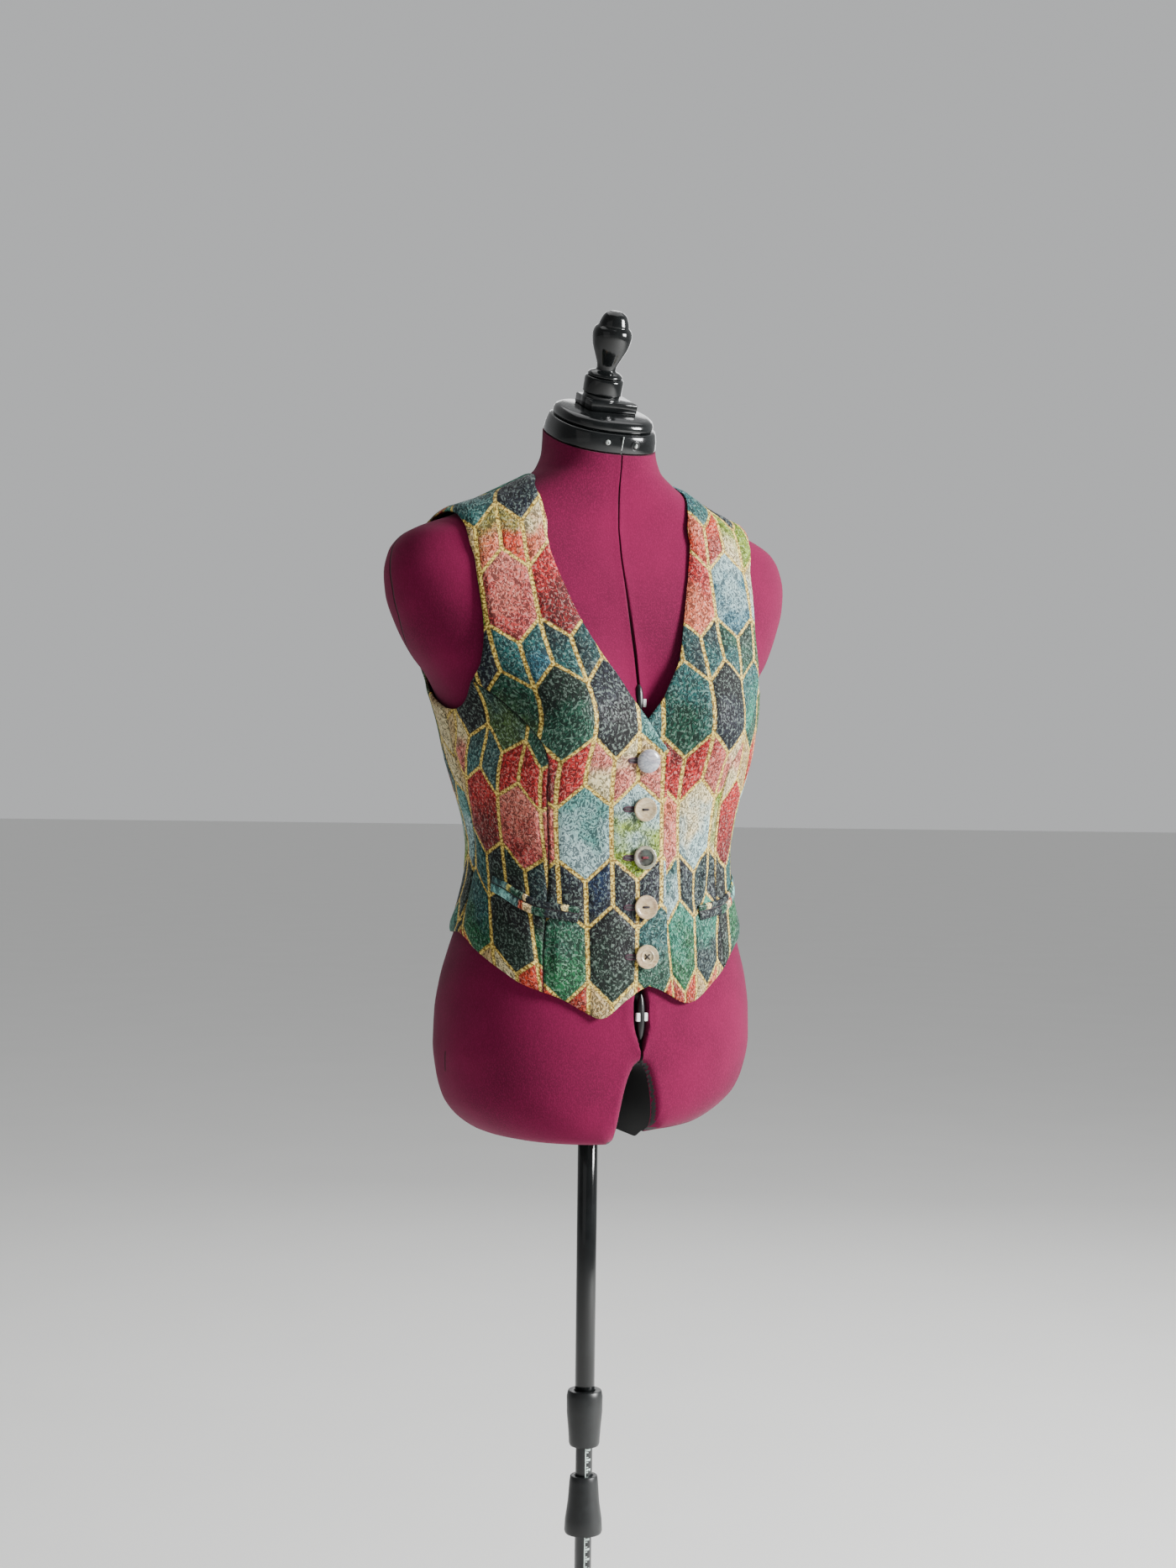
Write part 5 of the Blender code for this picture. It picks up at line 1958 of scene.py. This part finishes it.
def cut_mesh(bm, cutter):
    """Takes one closed mesh out of another."""
    pair = []
    for part in (bm, cutter):
        mesh = bpy.data.meshes.new("cutting")
        part.to_mesh(mesh)
        part.free()
        obj = bpy.data.objects.new("cutting", mesh)
        bpy.context.scene.collection.objects.link(obj)
        pair.append(obj)
    mod = pair[0].modifiers.new("cut", "BOOLEAN")
    mod.operation = "DIFFERENCE"
    mod.solver = "EXACT"
    mod.object = pair[1]
    out = baked(pair[0])
    for obj in pair:
        mesh = obj.data
        bpy.data.objects.remove(obj)
        bpy.data.meshes.remove(mesh)
    return out


def button_strands(holes):
    """The lines of thread over a button, between its holes."""
    top = 0.41 * BUTTON_RADIUS
    strands = []
    if len(holes) == 2:
        gap = holes[1][0]
        rows = ((-gap, -0.0006), (-gap * 0.8, 0.0002), (0, 0.0004), (gap * 0.8, 0.0002), (gap, -0.0006))
        for shift in (-0.0005, 0.0005):
            strands.append([(x, shift, top + rise) for x, rise in rows])
    if len(holes) == 4:
        for a, b in ((0, 2), (1, 3)):
            start = Vector((*holes[a], top - 0.0006))
            end = Vector((*holes[b], top - 0.0006))
            rows = ((0, 0), (0.15, 0.0010), (0.5, 0.0014 + 0.0003 * a), (0.85, 0.0010), (1, 0))
            strands.append([start.lerp(end, at) + Vector((0, 0, rise)) for at, rise in rows])
    return strands


def lapped_path(points, out):
    """A line of x and height laid on the right front, where it laps over the left one."""
    line = np.array(points)
    turn = turn_of(line[:, 0], line[:, 1])
    flat = np.stack([turn, line[:, 1]], -1)
    return surface_path(flat, out, True, lap_lift(-line[:, 0]))


class WAISTCOAT_OT_buttons(bpy.types.Operator):
    """Makes the five sewn buttons, their thread and their buttonholes"""

    bl_idname = "waistcoat.buttons"
    bl_label = "Buttons"

    def execute(self, context):
        mats = bpy.data.materials
        for k, (z, (kind, holes, finish, slot, sewn)) in enumerate(zip(BUTTON_Z, BUTTONS), 1):
            at = button_frame(z)
            bm = button_body(kind, holes)
            if kind == "broad":
                for face in bm.faces:
                    middle = face.calc_center_median()
                    if math.hypot(middle.x, middle.y) > BUTTON_RADIUS * 0.71:
                        face.material_index = 1
            bmesh.ops.transform(bm, matrix=at, verts=bm.verts)
            obj = link(f"sewn_button_{k}", bm, [mats[finish], mats["pearl_smoke_rim"]])
            obj.data.set_sharp_from_angle(angle=math.radians(38))
            carry(obj, "form", slot, f"button_{k}")
            parts = []
            for path in button_strands(holes):
                parts.append(tube_mesh([at @ Vector(p) for p in smooth(path, 6)], 0.00058))
            if parts:
                obj = link(f"button_thread_{k}", merged(*parts), [mats[sewn]])
                carry(obj, "form", "jacquard_edge")
            self.buttonhole(k, z)
        return {"FINISHED"}

    def buttonhole(self, k, z):
        """A keyhole loop of plum thread round a slit, from the button towards the side; a dark tube in the
        slit paints its shade.
        """
        start, end = 0.0208, 0.006
        path = []
        for step in range(40):
            angle = 2 * math.pi * step / 40
            across = math.cos(angle)
            eye = 1.0 + 0.35 * max(0.0, -across)
            x = (start + end) / 2 - across * (start - end) / 2
            path.append((x, z + math.sin(angle) * 0.0022 * eye))
        loop = tube_mesh(lapped_path(path, 0.0004), 0.0008, closed=True)
        # painted shade: a dark tube along the cut stands for the shade in the slit
        bar = [(0.0198, z), (0.016, z), (0.012, z), (0.008, z)]
        slit = tube_mesh(smooth(lapped_path(bar, 0.0001), 5), 0.0016)
        for face in slit.faces:
            face.material_index = 1
        mats = [bpy.data.materials[name] for name in ("thread_plum", "thread_dark")]
        carry(link(f"buttonhole_{k}", merged(loop, slit), mats), "form", "jacquard_edge")


SLIT = (
    # z, half width of the slit down the front of the form
    (0.800, 0.0010),
    (0.838, 0.0012),
    (0.848, 0.0036),
    (0.862, 0.0074),
    (0.884, 0.0072),
    (0.902, 0.0040),
    (1.120, 0.0016),
    (1.170, 0.0014),
    (1.300, 0.0009),
    (1.380, 0.0006),
    (1.480, 0.0005),
)
COVER_SEAM = (
    # height, and how far back the cover's side seam runs, over the neck and shoulder caps
    (1.185, 0.036),
    (1.220, 0.026),
    (1.238, 0.013),
    (1.257, 0.005),
    (1.280, 0.002),
    (1.303, 0.005),
    (1.324, 0.011),
    (1.345, 0.014),
    (1.362, 0.012),
    (1.385, 0.004),
    (1.400, 0.002),
    (1.412, 0.011),
    (1.425, 0.017),
    (1.440, 0.015),
    (1.480, 0.010),
)


def neck_top(turn):
    slope = math.tan(math.radians(NECK_TILT_DEG))
    z = np.full_like(turn, NECK_TOP_Z)
    for _ in range(5):
        z = NECK_TOP_Z + slope * form_point(turn, z)[..., 1]
    return z


ARCH_LIP = 0.008  # radius of the cover's rounded edge at the arch
LEG_RAISE = 0.012  # how much higher the left leg's lower end is


def arch_size(y):
    """Half width and top of the arch, at a distance from the middle."""
    share = (y / ARCH_REACH) ** 2
    return ARCH_HALF + ARCH_FLARE * share, ARCH_TOP_Z + 0.010 * share


def arch_far(points):
    """Distance of points from the arch's outline, seen from the front."""
    x, y, z = (points[..., k] for k in range(3))
    wide, top = arch_size(y)
    middle = top - ARCH_ROUND
    rise = np.maximum(z - middle, 0)
    share = np.sqrt((x / wide) ** 2 + (rise / ARCH_ROUND) ** 2) + 1e-9
    slope = np.sqrt((x / wide**2) ** 2 + (rise / ARCH_ROUND**2) ** 2) / share + 1e-9
    return np.where(z > middle, (share - 1) / slope, np.abs(x) - wide)


def raise_leg(points):
    """Lifts the lower end of the left leg, which the photo shows higher."""
    out = points.copy()
    near = s_step(points[..., 0], 0.0, 0.022)
    low = 1 - s_step(points[..., 2], 0.742, 0.830)
    out[..., 2] += LEG_RAISE * near * low
    return out


def arch_mesh():
    """The gap between the legs, wider toward the front and the back."""
    steps = 28
    grid = []
    for y in np.linspace(-ARCH_REACH, ARCH_REACH, 21):
        wide, top = arch_size(y)
        row = [(wide, y, ARCH_LOW_Z)]
        for k in range(steps + 1):
            angle = math.pi * k / steps
            row.append((wide * math.cos(angle), y, top - ARCH_ROUND * (1 - math.sin(angle))))
        row.append((-wide, y, ARCH_LOW_Z))
        grid.append(row + row[:1])
    return closed_sheet(np.array(grid))


def slit_half(z):
    """Half width of the form's slit at a height."""
    heights, halves = zip(*SLIT)
    return np.interp(z, heights, halves)


class WAISTCOAT_OT_form(bpy.types.Operator):
    """Makes the covered form with its slit, seams and arch"""

    bl_idname = "waistcoat.form"
    bl_label = "Form"

    def execute(self, context):
        turns, points = self.surface(context.scene.waistcoat.form.columns)
        half = slit_half(points[..., 2])
        aside = np.abs(points[..., 0])
        front = np.abs(turns) < 0.4
        gap = np.where(front, 1 - s_step(aside, half * 0.7, half * 1.25), 0.0)
        points[..., 1] += gap * np.minimum(half * 2.2, 0.006)
        lip = np.where(front, np.exp(-(((aside - half * 2.2) / 0.004) ** 2)), 0.0)
        points[..., 1] += -0.0004 * lip
        near = np.clip(ARCH_LIP - arch_far(points), 0, ARCH_LIP)
        round_in = ARCH_LIP - np.sqrt(np.clip(ARCH_LIP**2 - near**2, 0, None))
        low = 1 - s_step(points[..., 2], 0.845, 0.860)
        points[..., 1] -= np.sign(points[..., 1]) * round_in * low
        points = raise_leg(points)
        bm = closed_sheet(np.concatenate([points, points[:1]]))
        bm = cut_mesh(bm, arch_mesh())
        bm = cut_mesh(bm, turned(((SOCKET_RADIUS, 0.60), (SOCKET_RADIUS, 0.90)), 48))
        bmesh.ops.remove_doubles(bm, verts=bm.verts, dist=1e-5)
        self.mark(bm)
        mats = bpy.data.materials
        obj = link("form_cover", bm, [mats["form_jersey"], mats["arch_black"]])
        obj.data.set_sharp_from_angle(angle=math.radians(50))
        carry(obj, "form", "jersey", "torso")
        self.adjusters(mats)
        return {"FINISHED"}

    def surface(self, count):
        """The form's turns and points, with columns crowded beside the slit."""
        turn = np.linspace(-2, 2, count + 1)[:-1]
        near = [0.0008, 0.0016, 0.0025, 0.0036, 0.005, 0.007, 0.009, 0.011]
        near = np.array(near + list(np.arange(0.0125, 0.032, 0.0014)))
        close = np.arcsin((near / 0.165) ** (ROUNDNESS / 2)) * 2 / math.pi
        turn = turn[np.abs(turn) > close[-1] * 1.3]
        turn = np.sort(np.concatenate([turn, close, -close, [0.0]]))
        low = FORM_LEVELS[0][0]
        heights = list(low + 0.039 * (1 - np.cos(np.linspace(0, math.pi / 2, 13))))
        for start, end, steps in ((0.785, 0.860, 32), (0.860, 1.31, 92), (1.31, NECK_BASE_Z, 34)):
            heights += list(np.linspace(start, end, steps)[1:])
        rows = [np.full_like(turn, z) for z in heights]
        top = neck_top(turn)
        for share in np.linspace(0, 1, 13)[1:]:
            rows.append(NECK_BASE_Z * (1 - share) + top * share)
        z = np.array(rows).T
        turns = np.repeat(turn[:, None], z.shape[1], axis=1)
        return turns, form_point(turns, z)

    def mark(self, bm):
        """Marks the slit's points, and blackens the arch, the socket and the lower end; the slit's and the
        arch's black are painted shade.
        """
        layer = bm.verts.layers.float.new("slit")
        for vert in bm.verts:
            wide = float(slit_half(vert.co.z))
            aside = abs(vert.co.x)
            if vert.co.y < 0 and aside < wide * 1.6 and vert.co.z > 0.80:
                vert[layer] = 1.0 - min(1.0, max(0.0, (aside - wide * 0.75) / (wide * 0.4)))
        # painted shade: the arch's walls are black for the dark inside of the hollow form seen through the
        # arch; the lower end and the socket are black plastic
        for face in bm.faces:
            mid = face.calc_center_median()
            in_arch = mid.z < 0.8325 and abs(mid.x) < arch_size(mid.y)[0] + 0.0004
            below = face.normal.z < -0.9 and mid.z < 0.7535 and len(face.verts) > 8
            in_socket = math.hypot(mid.x, mid.y) < SOCKET_RADIUS + 0.0005
            if (in_arch and abs(face.normal.y) < 0.6) or below or in_socket:
                face.material_index = 1

    def adjusters(self, mats):
        """Black blocks with pale marks that show in the slit at the V and below the hem."""
        parts = []
        marks = []
        for z, tall, wide, sides in ((1.174, 0.036, 0.0100, (1,)), (0.871, 0.044, 0.0088, (-1, 1))):
            y = float(form_point(np.array(0.0), np.array(z))[1]) + 0.0028
            rows = ((0.10, -1.0), (0.30, -0.82), (0.42, -0.5), (0.5, 0.0))
            rows = rows + tuple((r, -h) for r, h in rows[2::-1])
            rows = [(r * wide, z + h * tall / 2) for r, h in rows]
            parts.append(turned(rows, 24, Matrix.Translation((0, y, 0))))
            for side in sides:
                at = Matrix.Translation((side * wide * 0.46, y - 0.0024, z))
                mark = block((0.0036, 0.0036, 0.0080), at)
                for face in mark.faces:
                    face.material_index = 1
                marks.append(mark)
        finish = [mats["adjuster_black"], mats["adjuster_mark"]]
        obj = link("adjusters", merged(*parts, *marks), finish)
        obj.data.set_sharp_from_angle(angle=math.radians(40))
        carry(soft_edges(obj, 0.0004), "form", "black_plastic")


def neck_cut(steps):
    """Points round the leaning cut of the neck."""
    turn = np.linspace(-2, 2, steps + 1)[:-1]
    return form_point(turn, neck_top(turn))


def cap_rings(rows):
    """Rings of the neck's own outline on the leaning cut, by height and scale."""
    base = neck_cut(96)
    middle = base.mean(axis=0)
    up = np.array(NECK_UP)
    rows = [(rows[0][0], 0.0), *rows, (rows[-1][0], 0.0)]
    rings = [middle + (base - middle) * scale + up * height for height, scale in rows]
    points = np.array(rings).transpose(1, 0, 2)
    return closed_sheet(np.concatenate([points, points[:1]]))


class WAISTCOAT_OT_cap(bpy.types.Operator):
    """Makes the black neck cap with its dial, screw and finial"""

    bl_idname = "waistcoat.cap"
    bl_label = "Neck cap and finial"

    def execute(self, context):
        steps = context.scene.waistcoat.stand.steps
        mats = bpy.data.materials
        gloss = [mats["gloss_black"]]
        low = 0.0
        for name, node, tall, profile in CAP_PROFILES:
            low = low + CAP_CLEAR
            high = low + tall
            rows = [((low if at >= 0 else high) + at, scale) for at, scale in profile]
            carry(link(name, cap_rings(rows), gloss), "form", "black_gloss", node)
            low = high
        base = Vector(neck_cut(32).mean(axis=0))
        base = base + NECK_UP * (high + CAP_CLEAR) + NECK_BACK * FINIAL_BACK
        r = PEDESTAL_RADIUS
        tall = PEDESTAL_TALL
        rows = [(r * wide, tall * share + more) for wide, share, more in PEDESTAL_PROFILE]
        obj = link("cap_pedestal_round", turned(rows, steps, leaning(base)), gloss)
        carry(soft_edges(obj, 0.0007), "form", "black_gloss", "cap_pedestal")
        rows = [tuple(row) for row in smooth(FINIAL_PROFILE, 5)]
        at = leaning(base + NECK_UP * (tall + CAP_CLEAR))
        obj = link("finial_bulb", turned(rows, steps, at), gloss)
        obj.data.set_sharp_from_angle(angle=math.radians(60))
        carry(obj, "form", "black_gloss", "finial")
        self.fittings(mats, steps)
        return {"FINISHED"}

    def fittings(self, mats, steps):
        """The band's screw, its dial in a slot, the split beside it, painted as a pale strip of light seen
        through it, and the block on the lid.
        """
        middle = Vector(neck_cut(64).mean(axis=0))

        def band_frame(turn, height, scale):
            ends = np.array([turn - 0.02, turn + 0.02, turn])
            base = [Vector(p) for p in form_point(ends, neck_top(ends))]
            along = (base[1] - base[0]).normalized()
            out = along.cross(NECK_UP).normalized()
            place = middle + (base[2] - middle) * scale + NECK_UP * height
            turned_to = Matrix((along, along.cross(out), out)).transposed().to_4x4()
            return Matrix.Translation(place) @ turned_to

        for name, turn, height, wide, finish, rows in CAP_FITTINGS:
            bm = turned(rows, steps)
            bmesh.ops.scale(bm, verts=bm.verts, vec=(1.0, wide, 1.0))
            bmesh.ops.transform(bm, verts=bm.verts, matrix=band_frame(turn, height, 0.978))
            obj = link(name, bm, [mats[finish]])
            obj.data.set_sharp_from_angle(angle=math.radians(45))
            carry(obj, "form", "black_gloss")
        at = middle + NECK_UP * (3 * CAP_CLEAR + BAND_TALL + LID_TALL + 0.0045)
        at = at + NECK_BACK * FINIAL_BACK + Vector((0.007, 0.0, 0.0))
        obj = link("cap_block", block((0.052, 0.040, 0.010), leaning(at)), [mats["gloss_black"]])
        carry(soft_edges(obj, 0.0015), "form", "black_gloss")
        # painted light: a pale steel strip stands for the light seen through the band's split
        split = block((0.0009, 0.0170, 0.0016), band_frame(-0.006, 0.0097, 0.974))
        obj = link("cap_split", split, [mats["screw_steel"]])
        carry(soft_edges(obj, 0.0002), "form", "black_gloss")


class WAISTCOAT_OT_stand(bpy.types.Operator):
    """Makes the pole, its collar, ruled tube, marker clamp, hub, legs and feet"""

    bl_idname = "waistcoat.stand"
    bl_label = "Stand"

    def execute(self, context):
        steps = context.scene.waistcoat.stand.steps
        mats = bpy.data.materials
        r = POLE_RADIUS
        pole = ((r - 0.0003, POLE_LOW_Z), (r, POLE_LOW_Z + 0.0005), (r, POLE_HIGH_Z))
        obj = link("pole_tube", turned(pole, steps, bore=POLE_BORE), [mats["gloss_black"]])
        carry(obj, "pole", "black_metal", "upper_pole")
        rod = ((ROD_RADIUS, ROD_LOW_Z), (ROD_RADIUS, ROD_HIGH_Z))
        obj = link("ruled_rod", turned(rod, steps), [mats["ruled_tube"]])
        carry(obj, "base", "black_tube", "lower_tube")
        for name, node, rows, inner, body_name in (
            ("collar_turned", "twist_collar", COLLAR_PROFILE, POLE_RADIUS, "collar"),
            ("clamp_turned", "marker_clamp", CLAMP_PROFILE, ROD_RADIUS, "clamp"),
            ("hub_turned", "hub", HUB_PROFILE, ROD_RADIUS, "base"),
        ):
            bm = turned(rows, steps, bore=inner + 0.0003)
            obj = soft_edges(link(name, bm, [mats["satin_black"]]), 0.0008, 20)
            carry(obj, body_name, "black_plastic", node)
        for k in range(4):
            self.leg(k + 1, math.pi / 4 + k * math.pi / 2)
        return {"FINISHED"}

    def leg(self, k, angle):
        """A flat bent bar from the hub, and the rubber foot near its end."""
        mats = bpy.data.materials
        line = smooth(LEG_LINE, 6)
        way = np.gradient(line, axis=0)
        way /= np.linalg.norm(way, axis=1, keepdims=True)
        c, s = math.cos(angle), math.sin(angle)
        rings = []
        for (radius, z), (along, rise) in zip(line, way):
            ring = []
            for side, up in ((-1, -1), (1, -1), (1, 1), (-1, 1), (-1, -1)):
                r = radius - rise * up * LEG_THICK / 2
                off = side * LEG_WIDE / 2
                ring.append((r * c - off * s, r * s + off * c, z + along * up * LEG_THICK / 2))
            rings.append(ring)
        bm = closed_sheet(np.array(rings).transpose(1, 0, 2))
        obj = link(f"leg_bar_{k}", bm, [mats["satin_black"]])
        carry(soft_edges(obj, 0.0018, 45, 3), "base", "black_metal", f"leg_{k}")
        place = Matrix.Translation((FOOT_AT * c, FOOT_AT * s, 0.0))
        r = FOOT_RADIUS
        rows = ((r * 0.96, 0.0), (r, 0.001), (r, FOOT_TALL - 0.002), (r * 0.85, FOOT_TALL))
        obj = link(f"foot_pad_{k}", turned(rows, 48, place), [mats["rubber_black"]])
        carry(soft_edges(obj, 0.0005), "base", "foot_rubber", f"foot_{k}")


class WAISTCOAT_OT_stage(bpy.types.Operator):
    """Makes the pale floor, the soft light and the camera"""

    bl_idname = "waistcoat.stage"
    bl_label = "Stage"

    def execute(self, context):
        scene = context.scene
        look = scene.waistcoat.stage
        self.floor(look)
        scene.world = self.studio()
        for name, place, size, power in LIGHTS:
            light = bpy.data.lights.new(name, "AREA")
            light.size = size
            light.energy = power
            lamp = bpy.data.objects.new(name, light)
            scene.collection.objects.link(lamp)
            lamp.location = place
            way = Vector(place) - Vector(LIT_POINT)
            lamp.rotation_euler = way.to_track_quat("Z", "Y").to_euler()
        scene.camera = self.camera(look)
        scene.collection.objects.link(scene.camera)
        return {"FINISHED"}

    def floor(self, look):
        bm = bmesh.new()
        bmesh.ops.create_circle(bm, cap_ends=True, segments=96, radius=60.0)
        n = Nodes("pale_floor")
        tone = tuple(255 * c for c in look.floor)
        deep = seen(tuple(c * 0.97 for c in tone))
        n.finish(n.mix(n.noise(n.place(), 3.0, 4), deep, seen(tone)), 0.75)
        n.put(n.shader.inputs["Emission Color"], (0.93, 0.93, 0.93, 1.0))
        n.put(n.shader.inputs["Emission Strength"], look.floor_glow)
        link("floor", bm, [n.material])

    def studio(self):
        """Light from all round, brighter from the far side of the photo."""
        world = bpy.data.worlds.new("studio")
        world.use_nodes = True
        nodes = world.node_tree.nodes
        back = nodes["Background"]
        back.inputs["Color"].default_value = (0.80, 0.81, 0.82, 1.0)
        way = nodes.new("ShaderNodeVectorMath")
        way.operation = "DOT_PRODUCT"
        way.inputs[1].default_value = PALER_WAY
        paler = nodes.new("ShaderNodeMapRange")
        paler.interpolation_type = "SMOOTHSTEP"
        for socket, value in zip(list(paler.inputs)[1:5], PALER_RANGE):
            socket.default_value = value
        links = world.node_tree.links
        links.new(nodes.new("ShaderNodeTexCoord").outputs["Generated"], way.inputs[0])
        links.new(way.outputs["Value"], paler.inputs["Value"])
        links.new(paler.outputs["Result"], back.inputs["Strength"])
        return world

    def camera(self, look):
        """The camera at the photo's viewing angle, with its slight roll."""
        ahead = Vector((-math.sin(look.azimuth), math.cos(look.azimuth), 0.0))
        place = ahead * -look.distance
        place.z = look.height
        high = Vector((0, 0, 1))
        side = ahead.cross(high)
        right = (side + high * CAMERA_ROLL).normalized()
        up = (high - side * CAMERA_ROLL).normalized()
        data = bpy.data.cameras.new("camera")
        data.sensor_width = 36.0
        data.lens = 36.0 * FOCAL_PIXELS / PHOTO_TALL
        data.shift_x = -4.8 / PHOTO_TALL
        data.clip_end = 60.0
        camera = bpy.data.objects.new("camera", data)
        turned_to = Matrix((right, up, -ahead)).transposed().to_4x4()
        camera.matrix_world = Matrix.Translation(place) @ turned_to
        return camera


class WAISTCOAT_PT_panel(bpy.types.Panel):
    """Shows the settings and a button for each step that builds the scene"""

    bl_label = "Waistcoat"
    bl_idname = "WAISTCOAT_PT_panel"
    bl_space_type = "VIEW_3D"
    bl_region_type = "UI"
    bl_category = "Waistcoat"

    def draw(self, context):
        look = context.scene.waistcoat
        for group in (look.cloth, look.form, look.stand, look.stage):
            box = self.layout.box()
            for name in group.__annotations__:
                box.prop(group, name)
        for operator in OPERATORS:
            self.layout.operator(operator.bl_idname)


OPERATORS = (
    WAISTCOAT_OT_materials,
    WAISTCOAT_OT_stage,
    WAISTCOAT_OT_form,
    WAISTCOAT_OT_cap,
    WAISTCOAT_OT_panels,
    WAISTCOAT_OT_pockets,
    WAISTCOAT_OT_buttons,
    WAISTCOAT_OT_stand,
)
CLASSES = (
    ClothSettings,
    FormSettings,
    StandSettings,
    StageSettings,
    WaistcoatSettings,
    *OPERATORS,
    WAISTCOAT_PT_panel,
)


def register():
    for cls in CLASSES:
        bpy.utils.register_class(cls)
    bpy.types.Scene.waistcoat = PointerProperty(type=WaistcoatSettings)


def unregister():
    del bpy.types.Scene.waistcoat
    for cls in reversed(CLASSES):
        bpy.utils.unregister_class(cls)


def main():
    register()
    bpy.ops.waistcoat.materials()
    bpy.ops.waistcoat.stage()
    bpy.ops.waistcoat.form()
    bpy.ops.waistcoat.cap()
    bpy.ops.waistcoat.panels()
    bpy.ops.waistcoat.pockets()
    bpy.ops.waistcoat.buttons()
    bpy.ops.waistcoat.stand()


if __name__ == "__main__":
    main()
